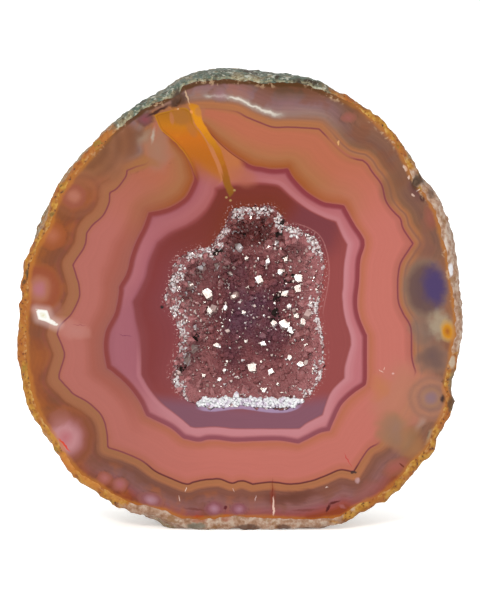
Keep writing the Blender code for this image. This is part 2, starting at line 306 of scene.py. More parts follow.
def reach(polar, angle):
    """How far a polar outline reaches at these angles, on a smooth curve through its points."""
    angles, radii = polar
    after = np.searchsorted(angles, angle, side="right")
    turns, index = np.divmod(after[:, None] + np.arange(-2, 2), len(angles))
    a0, a1, a2, a3 = (angles[index] + turns * math.tau).T
    r0, r1, r2, r3 = radii[index].T
    step = a2 - a1
    t = (angle - a1) / step
    start_slope = (r2 - r0) / (a2 - a0) * step
    end_slope = (r3 - r1) / (a3 - a1) * step
    return (
        r1 * (2 * t**3 - 3 * t**2 + 1)
        + start_slope * (t**3 - 2 * t**2 + t)
        + r2 * (3 * t**2 - 2 * t**3)
        + end_slope * (t**3 - t**2)
    )


FACE_POLAR = polar_of(FACE_EDGE)
HOLLOW_POLAR = polar_of(HOLLOW_EDGE)


def hump(angle, middle, half_width, height):
    """A smooth hump of this height round an angle in degrees, 0 past its half width."""
    away = np.abs((np.degrees(angle) - middle + 180) % 360 - 180) / half_width
    return height * np.cos(np.minimum(away, 1.0) * math.pi / 2) ** 2


def face_reach(angle):
    """How far the polished face reaches, with the swellings of its lower corners."""
    return reach(FACE_POLAR, angle) + sum(hump(angle, *swelling) for swelling in EDGE_SWELLINGS)


def rim_width(angle):
    """How wide the rim is at these angles, between the widths that are given."""
    steps = angle / math.tau % 1 * len(RIM_WIDTHS)
    return np.interp(steps, range(len(RIM_WIDTHS) + 1), [*RIM_WIDTHS, RIM_WIDTHS[0]]) * MM


def rim_depth(angle):
    """How far behind the polished face the rim is widest."""
    return RIM_DEPTH + sum(hump(angle, *slope) for slope in RIM_SLOPES)


def place(angle, radius, depth):
    """Points at these angles and radii round the middle of the face, this deep behind it."""
    parts = np.broadcast_arrays(np.cos(angle) * radius, depth, np.sin(angle) * radius)
    return CENTRE + np.stack(parts, axis=-1)


def bowl(turn, fullness):
    """(share of the radius, share of the depth) of a rounded bowl, from its rim at 0 to its floor at 1."""
    across = np.maximum(np.cos(turn * math.pi / 2), 0.0) ** (2 / fullness)
    return across, np.sin(turn * math.pi / 2) ** (2 / fullness)


def unit(vectors):
    """The same directions, one long."""
    return vectors / np.linalg.norm(vectors, axis=-1, keepdims=True)


def grain(points, apart):
    """Smooth noise at these points, about -1 to 1, whose lumps are this far apart."""
    return np.array([noise.noise(Vector(point) / apart) for point in points])


def rough_shift(points, kinds, level=0.0):
    """How far these points are shifted by noise of these kinds, each a height and how far apart."""
    return sum(high * (grain(points, apart) - level) for high, apart in kinds)


def hollow_wall(angle, turn, inset):
    """The hollow's wall, from its edge at turn 0 to its floor at turn 1, set in by inset."""
    across, deep = bowl(turn, HOLLOW_FULLNESS)
    radius = np.maximum(reach(HOLLOW_POLAR, angle) - inset, 0.0) * across
    return place(angle, radius, deep * (HOLLOW_DEPTH - inset))


def rim(angle, turn):
    """The rough rim, from the polished edge at turn 0 to its widest place at turn 1."""
    radius = face_reach(angle) + rim_width(angle) * np.sin(turn * math.pi / 2)
    return place(angle, radius, rim_depth(angle) * (1 - np.cos(turn * math.pi / 2)))


def back(angle, turn):
    """The rind behind the rim, from the widest place at turn 0 to the middle of the back at 1."""
    across, deep = bowl(turn, BACK_FULLNESS)
    start = rim_depth(angle)
    under = hump(angle, *SWELLING) * (4 * deep * (1 - deep)) ** 0.7
    rim_radius = face_reach(angle) + rim_width(angle)
    radius = (rim_radius * (1 - deep) + BACK_RADIUS * deep + under) * across
    points = place(angle, radius, start + (DEPTH - start) * deep)
    height = sum(tall * grain(points, apart) for tall, apart in LUMPS) * np.minimum(4 * deep, 1.0)
    return points + unit(points - CENTRE) * height[:, None]


def smooth_run(run, after, steps=5):
    """Points on a smooth curve through a run, up to where the next one begins."""
    knots = [2 * Vector(run[0]) - Vector(run[1]), *map(Vector, run), Vector(after)]
    knots.append(2 * knots[-1] - knots[-2])
    points = []
    for before, start, end, beyond in zip(knots, knots[1:], knots[2:], knots[3:]):
        for i in range(steps):
            t = i / steps
            points.append(
                start * (2 * t**3 - 3 * t**2 + 1) + (end - before) / 2 * (t**3 - 2 * t**2 + t)
                + end * (3 * t**2 - 2 * t**3) + (beyond - start) / 2 * (t**3 - t**2)
            )
    return points


def ring_of(runs):
    """A contour's polygon in millimetres."""
    pairs = zip(runs, [*runs[1:], runs[0]])
    return np.array([point for run, following in pairs for point in smooth_run(run, following[0])])


def polar_ring(reach_at, count=400):
    """A polygon in millimetres through a polar outline."""
    angles = np.linspace(-math.pi, math.pi, count, endpoint=False)
    return (place(angles, reach_at(angles), 0.0) / MM)[:, [0, 2]]


def distance_inside(points, ring):
    """How far inside a polygon these points lie, in millimetres, less than 0 outside it."""
    starts, ends = ring, np.roll(ring, -1, axis=0)
    edges = ends - starts
    nearest = np.full(len(points), np.inf)
    inside = np.zeros(len(points), dtype=bool)
    for start, end, edge in zip(starts, ends, edges):
        away = points - start
        along = np.clip(away @ edge / max(edge @ edge, 1e-12), 0.0, 1.0)
        nearest = np.minimum(nearest, np.linalg.norm(away - along[:, None] * edge, axis=1))
        spans = (start[1] > points[:, 1]) != (end[1] > points[:, 1])
        rise = edge[1] if edge[1] else 1e-12
        inside ^= spans & (points[:, 0] < (points[:, 1] - start[1]) * edge[0] / rise + start[0])
    return np.where(inside, nearest, -nearest)


def turned_axes(turn):
    """The two axes, as (right, up), of a shape turned clockwise by this many degrees."""
    sine, cosine = math.sin(math.radians(turn)), math.cos(math.radians(turn))
    return (cosine, -sine), (sine, cosine)


class Wire:
    """A node's output. Sums and products of wires and numbers add Math nodes."""

    def __init__(self, paint, socket):
        self.paint = paint
        self.socket = socket

    def maths(self, operation, *values):
        return self.paint.node("ShaderNodeMath", {"operation": operation}, dict(enumerate(values)))

    def __add__(self, other):
        return self.maths("ADD", self, other)

    def __sub__(self, other):
        return self.maths("SUBTRACT", self, other)

    def __rsub__(self, other):
        return self.maths("SUBTRACT", other, self)

    def __mul__(self, other):
        return self.maths("MULTIPLY", self, other)

    def __truediv__(self, other):
        return self.maths("DIVIDE", self, other)

    def __abs__(self):
        return self.maths("ABSOLUTE", self)

    def __or__(self, other):
        return self.maths("MAXIMUM", self, other)

    __radd__ = __add__
    __rmul__ = __mul__


class Paint:
    """A material and its nodes."""

    def __init__(self, name):
        self.material = bpy.data.materials.new(name)
        self.material.use_nodes = True
        self.tree = self.material.node_tree
        self.tree.nodes.clear()

    def node(self, kind, settings, values, output=0):
        """Adds a node of this kind: its settings come first, then the values or wires of its sockets."""
        made = self.tree.nodes.new(kind)
        for name, setting in settings.items():
            if name == "stops":
                lay_stops(made.color_ramp, setting)
            else:
                setattr(made, name, setting)
        for name, value in values.items():
            socket = made.inputs[name]
            if isinstance(value, Wire):
                self.tree.links.new(value.socket, socket)
            elif socket.type == "RGBA":
                socket.default_value = (*value, 1.0)
            else:
                socket.default_value = value
        return Wire(self, made.outputs[output]) if made.outputs else None

    def attribute(self, name):
        return self.node("ShaderNodeAttribute", {"attribute_name": name}, {}, "Fac")

    def millimetres(self):
        """Where a point of the piece lies, in millimetres."""
        here = self.node("ShaderNodeTexCoord", {}, {}, "Object")
        return self.node("ShaderNodeVectorMath", {"operation": "SCALE"}, {0: here, "Scale": 1 / MM})

    def flat(self, here):
        """The same place, with its depth left out."""
        return self.node("ShaderNodeVectorMath", {"operation": "MULTIPLY"}, {0: here, 1: (1.0, 0.0, 1.0)})

    def cloud(self, here, apart, detail=3.0, roughness=0.55):
        """Noise from 0 to 1 whose lumps are this many millimetres apart."""
        values = {"Vector": here, "Scale": 1 / apart, "Detail": detail, "Roughness": roughness}
        return self.node("ShaderNodeTexNoise", {}, values)

    def stirred(self, here, apart, by):
        """The same place, shifted to and fro by noise whose lumps are this many millimetres apart."""
        values = {"Vector": here, "Scale": 1 / apart, "Detail": 2.0}
        swirl = self.node("ShaderNodeTexNoise", {}, values, "Color")
        shift = self.node("ShaderNodeVectorMath", {"operation": "SUBTRACT"}, {0: swirl, 1: (0.5, 0.5, 0.5)})
        shift = self.node("ShaderNodeVectorMath", {"operation": "SCALE"}, {0: shift, "Scale": by})
        return self.node("ShaderNodeVectorMath", {"operation": "ADD"}, {0: here, 1: shift})

    def fade(self, value, start, end):
        """0 where value is start or less and 1 where it is end or more, or the other way round."""
        values = {"Value": value, "From Min": start, "From Max": end}
        if start > end:
            values = {"Value": value, "From Min": end, "From Max": start, "To Min": 1.0, "To Max": 0.0}
        return self.node("ShaderNodeMapRange", {"interpolation_type": "SMOOTHSTEP"}, values)

    def band(self, value, start, end, soft):
        """1 between start and end, with soft edges."""
        return self.fade(value, start - soft, start + soft) * self.fade(value, end + soft, end - soft)

    def mix(self, share, first, second, how="MIX"):
        """first where share is 0, and second laid over it where share is 1."""
        values = {0: share, 6: first, 7: second}
        return self.node("ShaderNodeMix", {"data_type": "RGBA", "blend_type": how}, values, 2)

    def ramp(self, value, stops):
        """A colour that runs through these stops as value goes from 0 to 1."""
        return self.node("ShaderNodeValToRGB", {"stops": stops}, {"Fac": value})

    def spot(self, flat, x, z, half_width=1.0, half_height=1.0, turn=0.0):
        """Distance from a spot's middle, 1 at its edge, with its turn clockwise in degrees."""
        squares = 0.0
        for (right, up), size in zip(turned_axes(turn), (half_width, half_height)):
            axis = (right / size, 0.0, up / size)
            dot = {"operation": "DOT_PRODUCT"}
            along = self.node("ShaderNodeVectorMath", dot, {0: flat, 1: axis}, "Value")
            along = along - (x * right + z * up) / size
            squares = along * along + squares
        return self.node("ShaderNodeMath", {"operation": "SQRT"}, {0: squares})

    def finish(self, sockets, bump=None, bump_distance=0.0):
        """Ends the material in a Principled shader with these sockets."""
        if bump is not None:
            values = {"Height": bump, "Distance": bump_distance, "Strength": 1.0}
            sockets = {**sockets, "Normal": self.node("ShaderNodeBump", {}, values)}
        shader = self.node("ShaderNodeBsdfPrincipled", {}, sockets)
        self.node("ShaderNodeOutputMaterial", {}, {"Surface": shader})
        return self.material


def lay_stops(color_ramp, stops):
    """Sets a ramp's stops, each a position from 0 to 1 and a colour."""
    elements = color_ramp.elements
    while len(elements) < len(stops):
        elements.new(1.0)
    for element, (position, colour) in zip(elements, stops):
        element.position = position
        element.color = (*colour, 1.0)


def seen(red, green, blue):
    """The base colour of a thing that looks this colour, 0 to 255, in this light."""
    def base(level, light):
        level /= 255
        linear = level / 12.92 if level <= 0.04045 else ((level + 0.055) / 1.055) ** 2.4
        return max((linear - HAZE) / light, 0.001)
    return tuple(base(level, light) for level, light in zip((red, green, blue), FACE_LIGHT))


# The middle height and half width of the polished face, and the foot and height of its tube, in millimetres
FACE_MIDDLE = 45.0
FACE_HALF_WIDTH = 43.0
TUBE_FOOT = 66.0
TUBE_HEIGHT = 20.0

# Colours of the bands as they are seen
SALMON = seen(196, 114, 103)
DARK_SALMON = seen(180, 100, 86)
WARM_SALMON = seen(184, 108, 84)
DEEP_SALMON = seen(172, 100, 88)
OCHRE = seen(172, 112, 78)
TAN = seen(176, 112, 80)
BROWN = seen(150, 88, 62)
DARK_BROWN = seen(92, 64, 40)
ORANGE_BROWN = seen(160, 90, 54)
RED_BROWN = seen(148, 72, 50)
OLIVE_BROWN = seen(136, 97, 76)
PALE_STREAK = seen(176, 158, 148)
PLUM = seen(130, 66, 76)
MAROON = seen(138, 62, 68)
ROSE = seen(188, 112, 118)
PURPLE_ROSE = seen(172, 100, 112)
PALE_ROSE = seen(198, 130, 136)
DEEP_ROSE = seen(162, 90, 98)
DARK_WINE = seen(124, 60, 54)
BRIGHT_WINE = seen(150, 77, 76)
LILAC_BROWN = seen(136, 89, 103)
LAVENDER = seen(176, 150, 182)

# Colours outside the purple line on each side, by how many millimetres a point is from it
OUTSIDE_REACH = 12.0
OUTSIDE_LEFT = [
    (0.0, TAN), (0.9, TAN), (1.1, seen(174, 108, 80)), (1.3, TAN), (1.9, seen(172, 106, 76)), (2.3, BROWN),
    (2.9, seen(154, 86, 68)), (3.4, BROWN), (3.8, seen(152, 84, 58)), (5.2, ORANGE_BROWN),
    (7.2, seen(168, 98, 56)),
    (9.0, seen(184, 124, 66)),
]
OUTSIDE_TOP = [
    (0.0, OCHRE), (1.0, OCHRE), (1.6, seen(152, 108, 90)), (2.4, seen(150, 120, 112)),
    (3.4, seen(146, 114, 112)),
    (4.6, seen(138, 104, 106)), (5.6, seen(128, 98, 94)), (6.8, seen(108, 80, 66)), (9.0, DARK_BROWN),
]
OUTSIDE_RIGHT = [
    (0.0, DEEP_SALMON), (0.5, OCHRE), (0.9, seen(170, 114, 86)), (1.2, seen(140, 96, 80)), (1.6, OCHRE),
    (2.5, OLIVE_BROWN), (4.0, seen(126, 90, 78)), (5.5, seen(134, 96, 80)), (7.5, seen(142, 96, 76)),
    (9.5, seen(152, 104, 72)),
]
OUTSIDE_BOTTOM = [
    (0.0, TAN), (0.6, OCHRE), (1.2, TAN), (1.7, seen(136, 88, 74)), (2.7, seen(130, 84, 74)),
    (3.5, seen(140, 94, 88)),
    (4.6, seen(148, 100, 98)), (5.4, seen(152, 94, 96)), (6.4, seen(154, 82, 76)), (7.3, RED_BROWN),
    (9.0, RED_BROWN),
]

# Colours inside it: 1 is the purple line, 2 the maroon line, 3 the inner edge of the rose band, 4 the hollow
GROWTH_TOP = 4.0
BANDS_LEFT = [
    (0.98, WARM_SALMON), (1.10, SALMON), (1.45, SALMON), (1.70, DARK_SALMON), (1.95, DEEP_SALMON),
    (2.05, DEEP_ROSE), (2.35, ROSE), (2.80, seen(180, 104, 112)), (2.93, DEEP_ROSE),
    (3.02, seen(144, 72, 74)),
    (3.30, seen(138, 64, 64)), (3.95, seen(136, 68, 72)),
]
BANDS_TOP = [
    (0.98, OCHRE), (1.15, WARM_SALMON), (1.40, WARM_SALMON), (1.75, OCHRE), (1.95, ORANGE_BROWN),
    (2.10, DEEP_ROSE), (2.60, seen(176, 104, 106)), (2.92, seen(172, 98, 98)), (3.02, BRIGHT_WINE),
    (3.15, DARK_WINE),
    (3.95, seen(122, 60, 48)),
]
BANDS_RIGHT = [
    (0.98, DEEP_SALMON), (1.20, SALMON), (1.75, SALMON), (1.93, WARM_SALMON), (2.10, ROSE), (2.50, ROSE),
    (2.92, PALE_ROSE), (3.02, BRIGHT_WINE), (3.95, BRIGHT_WINE),
]
BANDS_BOTTOM = [
    (0.98, WARM_SALMON), (1.20, SALMON), (1.75, SALMON), (1.93, WARM_SALMON), (2.12, ROSE), (2.60, PALE_ROSE),
    (2.92, PALE_ROSE), (3.02, BRIGHT_WINE), (3.95, BRIGHT_WINE),
]

# Eyes in the outer bands: middle, half sizes, turn, how strong, and colours from the middle to the edge
EYES = [
    ((-40.2, 48.6), (5.0, 5.6), 0.0, 0.95, [
        (180, 112, 122), (178, 112, 114), (172, 108, 86), (154, 84, 62), (152, 82, 58), (164, 94, 60)]),
    ((-30.6, 76.4), (11.0, 9.6), -40.0, 0.40, [
        (132, 88, 64), (128, 86, 64), (152, 102, 74), (130, 86, 66), (160, 108, 80), (138, 90, 70),
        (164, 108, 82),
        (146, 94, 74), (168, 110, 84)]),
    ((-32.2, 67.4), (5.6, 4.8), -30.0, 0.45, [
        (172, 106, 82), (164, 98, 72), (142, 86, 64), (166, 100, 72), (144, 88, 68), (168, 106, 78)]),
    ((-33.2, 67.0), (2.8, 2.8), 0.0, 0.85, [(182, 118, 104), (180, 114, 96), (156, 90, 74), (154, 88, 72)]),
    ((-37.6, 59.2), (3.2, 3.2), 0.0, 0.75, [(186, 114, 90), (178, 104, 78), (164, 92, 60), (160, 88, 56)]),
    ((-35.2, 18.8), (6.4, 6.8), 0.0, 0.95, [
        (188, 110, 118), (190, 122, 128), (194, 136, 140), (176, 116, 118), (150, 88, 76), (138, 80, 58),
        (156, 90, 64)]),
    ((-36.4, 22.8), (2.6, 2.0), -30.0, 0.5, [(172, 112, 104), (160, 98, 84)]),
    ((-27.4, 10.6), (1.9, 1.7), 0.0, 0.7, [(188, 118, 116), (176, 104, 94), (156, 88, 66)]),
    ((-24.4, 9.4), (2.1, 1.8), 0.0, 0.7, [(184, 110, 120), (178, 108, 102), (150, 86, 66)]),
    ((-18.2, 6.3), (3.0, 1.9), 14.0, 0.85, [(184, 140, 156), (172, 122, 132), (146, 88, 90), (150, 96, 88)]),
    ((-5.4, 4.5), (2.4, 1.9), 0.0, 0.85, [(184, 138, 156), (172, 118, 132), (142, 84, 92), (146, 92, 92)]),
    ((-0.5, 4.4), (2.0, 1.6), 0.0, 0.85, [(182, 134, 152), (168, 112, 126), (142, 84, 92), (146, 92, 92)]),
    ((-4.2, 87.0), (2.4, 1.7), 0.0, 0.7, [(156, 106, 116), (150, 108, 112), (142, 106, 100)]),
    ((21.2, 82.6), (1.9, 1.4), 0.0, 0.6, [(176, 100, 98), (164, 96, 86), (146, 94, 80)]),
    ((-19.0, 82.2), (2.0, 1.7), 0.0, 0.9, [(142, 72, 80), (126, 78, 84), (112, 74, 66)]),
    ((37.4, 62.8), (1.6, 3.2), -12.0, 0.6, [(166, 92, 84), (156, 90, 78), (144, 92, 76)]),
    ((37.8, 26.8), (5.4, 5.2), 0.0, 0.85, [
        (146, 116, 126), (150, 116, 118), (168, 122, 98), (148, 108, 96), (178, 122, 98), (156, 110, 94),
        (182, 122, 98)]),
    ((31.0, 13.0), (3.6, 2.0), -30.0, 0.6, [(176, 98, 88), (168, 96, 80), (150, 92, 72)]),
]

# Clouds in the outer bands, in the same terms, ragged where the eyes are round
CLOUDS = [
    ((-16.6, 76.6), (3.4, 6.4), 8.0, 0.85, [(160, 120, 100), (164, 116, 96), (174, 112, 92)]),
    ((-28.0, 75.6), (9.4, 6.6), -42.0, 0.80, [(122, 82, 60), (126, 84, 62), (140, 94, 70), (150, 100, 76)]),
    ((-22.4, 77.8), (5.0, 3.4), -48.0, 0.85, [(112, 74, 54), (120, 80, 60), (136, 94, 76)]),
    ((-19.2, 78.6), (1.2, 2.6), 12.0, 0.6, [(170, 146, 128), (150, 116, 98)]),
    ((-19.6, 73.4), (4.6, 1.6), -8.0, 0.6, [(166, 112, 72), (162, 106, 72)]),
    ((31.0, 70.4), (3.4, 6.0), 36.0, 0.55, [(128, 88, 70), (132, 92, 72), (140, 98, 78)]),
    ((32.0, 26.6), (6.8, 10.0), 16.0, 0.80, [(186, 124, 100), (186, 122, 100), (190, 118, 102)]),
    ((30.0, 20.4), (4.0, 4.8), -30.0, 0.80, [(148, 116, 100), (154, 116, 92), (172, 118, 90)]),
    ((34.0, 18.0), (3.4, 3.6), 30.0, 0.65, [(158, 122, 92), (160, 118, 84), (162, 112, 80)]),
    ((27.6, 29.0), (2.2, 3.4), 10.0, 0.55, [(190, 122, 72), (192, 118, 86)]),
    ((38.0, 34.6), (4.2, 4.0), 10.0, 0.85, [(112, 88, 86), (122, 94, 86), (150, 112, 94)]),
    ((36.2, 40.6), (3.6, 4.6), -20.0, 0.8, [(136, 112, 102), (134, 106, 94), (152, 112, 96)]),
    ((38.6, 20.0), (0.9, 2.6), 24.0, 0.7, [(146, 150, 132), (160, 136, 112)]),
    ((35.4, 21.6), (1.3, 2.2), 20.0, 0.6, [(180, 150, 138), (166, 124, 104)]),
    ((35.6, 16.4), (3.0, 3.4), 34.0, 0.6, [(168, 118, 82), (166, 114, 78), (160, 106, 74)]),
    ((25.4, 8.6), (5.0, 2.2), -34.0, 0.5, [(158, 92, 86), (152, 90, 80), (140, 86, 70)]),
    ((10.0, 7.0), (8.0, 1.5), -3.0, 0.65, [(100, 60, 50), (112, 68, 58), (128, 78, 68)]),
    ((36.2, 57.6), (2.2, 5.0), 8.0, 0.6, [(132, 88, 82), (138, 92, 80), (146, 98, 78)]),
    # The pinkish cloud beside the chip on the left is a painted glow round the painted highlight
    ((-37.2, 44.6), (2.4, 3.2), 0.0, 0.5, [(168, 108, 98), (160, 100, 84)]),
    ((-33.4, 40.6), (4.4, 2.6), 16.0, 0.40, [(196, 142, 134), (194, 130, 118)]),
]

# Cracks, chips and specks in the face: middle, half sizes, turn, how soft, how strong, and colour
MARKS = [
    ((6.2, 6.6), (0.9, 4.4), 0.0, 0.95, 0.55, (150, 62, 34)),
    ((6.2, 8.2), (0.10, 3.0), 0.0, 0.5, 0.8, (120, 52, 34)),
    ((6.4, 5.0), (0.28, 2.3), 0.0, 0.4, 0.95, (238, 196, 180)),
    ((21.2, 14.4), (2.1, 0.12), 61.0, 0.6, 0.85, (196, 72, 70)),
    ((22.4, 11.8), (0.7, 0.35), 0.0, 0.5, 0.9, (74, 58, 56)),
    ((23.2, 10.2), (0.7, 0.9), 0.0, 0.8, 0.7, (206, 164, 166)),
    ((17.3, 4.6), (1.2, 0.38), -66.0, 0.6, 0.95, (88, 40, 36)),
    ((18.6, 5.8), (1.5, 0.34), -16.0, 0.6, 0.9, (96, 46, 40)),
    ((20.2, 5.0), (1.0, 0.5), 20.0, 0.8, 0.6, (176, 112, 112)),
    ((12.4, 4.2), (3.6, 0.4), -4.0, 0.8, 0.5, (112, 54, 44)),
    ((-9.4, 4.4), (3.0, 0.35), 6.0, 0.8, 0.6, (112, 60, 50)),
    ((32.0, 13.2), (0.9, 0.26), 48.0, 0.5, 0.85, (112, 56, 46)),
    ((-32.3, 41.4), (1.8, 0.09), 8.0, 0.6, 0.7, (150, 76, 84)),
    ((-23.1, 39.3), (1.8, 0.09), 10.0, 0.6, 0.7, (120, 60, 84)),
    ((19.2, 77.6), (0.25, 0.6), 8.0, 0.5, 0.8, (228, 172, 116)),
    ((27.8, 32.2), (0.6, 0.12), 40.0, 0.5, 0.8, (232, 186, 172)),
    ((28.4, 32.7), (0.12, 0.5), 20.0, 0.5, 0.8, (232, 186, 172)),
    ((30.2, 31.7), (0.3, 0.2), 0.0, 0.5, 0.8, (226, 176, 168)),
    ((-11.2, 8.4), (0.12, 0.6), 20.0, 0.5, 0.8, (236, 206, 196)),
    ((-12.4, 6.6), (0.12, 0.8), -12.0, 0.5, 0.8, (226, 192, 180)),
    ((2.8, 6.6), (0.10, 0.8), 14.0, 0.5, 0.8, (226, 190, 186)),
    ((-1.6, 8.2), (0.10, 0.5), -20.0, 0.5, 0.7, (226, 190, 180)),
    ((17.0, 8.8), (0.35, 0.12), -30.0, 0.5, 0.8, (236, 206, 196)),
    ((-15.8, 45.0), (0.55, 0.42), -20.0, 0.7, 1.0, (30, 16, 14)),
    ((-11.0, 27.5), (0.7, 0.5), 20.0, 0.35, 1.0, (26, 14, 14)),
    ((15.4, 30.1), (1.0, 0.26), -48.0, 0.4, 1.0, (32, 22, 30)),
    ((-35.4, 17.4), (2.1, 0.30), 50.0, 0.5, 0.9, (224, 66, 48)),
    ((-3.2, 4.7), (0.5, 0.5), 0.0, 0.5, 0.9, (98, 44, 50)),
    ((40.2, 26.6), (0.8, 1.2), 0.0, 0.7, 0.9, (58, 46, 48)),
    ((40.4, 30.0), (0.6, 1.0), -20.0, 0.7, 0.8, (70, 56, 54)),
    ((-8.7, 2.9), (1.8, 0.4), 0.0, 0.6, 0.8, (176, 76, 44)),
    ((-3.2, 3.1), (1.0, 0.4), 0.0, 0.6, 0.8, (172, 72, 42)),
    ((34.6, 68.2), (2.0, 3.6), -30.0, 0.8, 0.75, (110, 74, 74)),
    ((34.3, 69.6), (0.9, 2.4), -30.0, 0.7, 0.9, (62, 42, 38)),
    ((35.8, 66.6), (0.6, 1.2), -20.0, 0.7, 0.8, (70, 46, 46)),
    ((32.4, 72.6), (0.45, 0.9), -30.0, 0.5, 0.9, (226, 196, 180)),
    ((33.2, 70.8), (0.3, 0.5), 10.0, 0.5, 0.9, (230, 200, 186)),
    ((34.0, 67.2), (0.3, 0.6), -30.0, 0.5, 0.8, (222, 186, 170)),
    ((-16.4, 83.9), (3.4, 0.5), -27.0, 0.7, 0.9, (62, 42, 30)),
    ((-13.2, 84.3), (1.6, 0.35), 14.0, 0.7, 0.7, (190, 122, 66)),
    ((-12.0, 86.2), (2.1, 1.9), -20.0, 0.7, 0.85, (92, 66, 54)),
    ((-13.4, 85.2), (0.9, 1.2), 0.0, 0.8, 0.7, (52, 36, 32)),
    ((-10.8, 86.8), (0.16, 2.2), -20.0, 0.5, 0.8, (206, 170, 140)),
    ((-9.9, 83.7), (0.4, 0.5), 0.0, 0.6, 0.9, (232, 150, 84)),
    ((-17.5, 79.0), (0.5, 2.2), 10.0, 0.95, 0.75, (186, 172, 156)),
]


# Brown lumps where the tube leaves the rind, as in the marks, and the dots where it ends
TUBE_LUMPS = [
    ((-12.0, 82.6), (2.7, 1.9), 18.0, 0.85, (168, 108, 58)), ((-9.9, 80.2),
    (1.0, 2.0), -30.0, 0.6, (178, 110, 64)),
    ((-13.8, 82.4), (0.5, 1.5), -8.0, 0.6, (188, 118, 84)), ((-8.2, 83.8),
    (1.2, 1.4), 20.0, 0.5, (170, 112, 84)),
]
TUBE_DOTS = [(-1.4, 68.2), (-3.0, 66.8), (-2.2, 66.2)]


class Face:
    """What the layers of the polished face are measured by, in millimetres and from 0 to 1."""

    def __init__(self, paint):
        self.flat = paint.flat(paint.millimetres())
        self.growth = paint.attribute("growth")
        self.purple = paint.attribute("purple_line")
        self.waver = paint.cloud(self.flat, 9.0, 2.0) - 0.5
        self.fine = paint.cloud(self.flat, 1.6, 2.0) - 0.5
        self.x = paint.node("ShaderNodeSeparateXYZ", {}, {0: self.flat}, "X")
        self.z = paint.node("ShaderNodeSeparateXYZ", {}, {0: self.flat}, "Z")

        # Each side has its own order of bands, and the sides melt into each other
        self.across = self.x / FACE_HALF_WIDTH
        self.height = (self.z - FACE_MIDDLE) / FACE_HALF_WIDTH
        self.side = paint.fade(self.across + self.waver * 0.3, -0.35, 0.35)
        self.upright = paint.fade(self.height * 1.25 - abs(self.across) + self.waver * 0.3, -0.25, 0.45)
        self.under = paint.fade(self.height * -1.15 - abs(self.across) + self.waver * 0.3, -0.20, 0.40)
        lean = self.height - abs(self.across) - (self.across | 0.0) * 0.6
        self.outer_upright = paint.fade(lean + self.waver * 0.3, -0.05, 0.35)


def by_side(paint, face, value, top, lists, upper):
    """The colour at this value, from 0 to top, in the bands of the left, right, top and bottom."""
    left, right, over, below = (
        paint.ramp(value, [(stop / top, colour) for stop, colour in bands]) for bands in lists
    )
    return paint.mix(face.under, paint.mix(upper, paint.mix(face.side, left, right), over), below)


def inner_bands(paint, face):
    """The bands inside the purple line, from salmon to the wine round the hollow."""
    growth, waver, x, z = face.growth, face.waver, face.x, face.z
    level = (growth + waver * 0.10 + face.fine * 0.02) / GROWTH_TOP
    bands = (BANDS_LEFT, BANDS_RIGHT, BANDS_TOP, BANDS_BOTTOM)
    colour = by_side(paint, face, level, GROWTH_TOP, bands, face.upright)
    lilac = paint.fade(growth, 2.97, 3.06)
    lilac = lilac * paint.fade(z + waver * 1.2 - abs(x - 1.0) * 0.12, 26.4, 23.0)
    colour = paint.mix(lilac, colour, LILAC_BROWN)
    purple_rose = paint.band(growth, 2.2, 2.9, 0.12) * paint.fade(z + waver * 6.0, 50.0, 42.0)
    purple_rose = purple_rose * paint.fade(x, -14.0, -18.0)
    colour = paint.mix(purple_rose * paint.fade(z, 26.0, 32.0) * 0.65, colour, PURPLE_ROSE)
    mauve = paint.fade(paint.spot(face.flat, 14.6, 60.4, 9.0, 7.0, -40.0) + waver, 1.1, 0.4)
    mauve = mauve * paint.fade(growth, 3.0, 3.1)
    return paint.mix(mauve * 0.8, colour, seen(122, 66, 72))


def outer_bands(paint, face):
    """The bands outside the purple line, blotched, with the white streak at the top."""
    away = (face.fine * 0.5 + face.waver * 1.6) * paint.fade(face.purple, -0.6, -2.6) - face.purple
    bands = (OUTSIDE_LEFT, OUTSIDE_RIGHT, OUTSIDE_TOP, OUTSIDE_BOTTOM)
    colour = by_side(paint, face, away / OUTSIDE_REACH, OUTSIDE_REACH, bands, face.outer_upright)
    blotch = paint.cloud(face.flat, 6.5, 3.0)
    far_out = paint.fade(face.purple, -1.8, -3.0)
    warm = paint.fade(blotch, 0.46, 0.60) * far_out * 0.45 * (1 - face.side)
    colour = paint.mix(warm, colour, seen(184, 104, 56))
    colour = paint.mix(paint.fade(blotch, 0.50, 0.38) * far_out * 0.5, colour, seen(134, 84, 64))
    for ragged, (start, end), soft, (left, right), melt, strength, shade in [
        (0.6, (1.9, 2.9), 0.5, (-6.6, 8.0), 1.4, 0.9, PALE_STREAK),
        (0.8, (2.25, 2.65), 0.22, (-6.4, 7.0), 1.6, 0.8, seen(234, 224, 212)),
    ]:
        streak = paint.band(away + face.fine * ragged, start, end, soft)
        streak = streak * paint.band(face.x, left, right, melt) * paint.fade(face.z, 78.0, 80.0)
        colour = paint.mix(streak * strength, colour, shade)
    return colour


def faint_layers(paint, face, colour):
    """Fine layers that follow the growth, and the shade that deepens to the left."""
    grown = {0: face.growth * 9.0 + face.waver, 1: face.side * 2.0}
    layers = paint.cloud(paint.node("ShaderNodeCombineXYZ", {}, grown), 0.6, 3.0)
    layers = paint.mix(layers, (0.36, 0.34, 0.33), (0.66, 0.64, 0.63))
    colour = paint.mix(0.26, colour, layers, "OVERLAY")
    grown = {0: face.purple * 1.6 + face.fine * 0.5, 1: face.side}
    rings = paint.cloud(paint.node("ShaderNodeCombineXYZ", {}, grown), 0.7, 2.0)
    rings = paint.mix(rings, (0.30, 0.28, 0.28), (0.72, 0.70, 0.70))
    colour = paint.mix(paint.fade(face.purple, -0.2, -0.8) * 0.35, colour, rings, "OVERLAY")
    shade_side = paint.fade(face.across + face.waver * 0.2, 0.05, -0.75)
    return paint.mix(shade_side, colour, (0.80, 0.84, 0.86), "MULTIPLY")


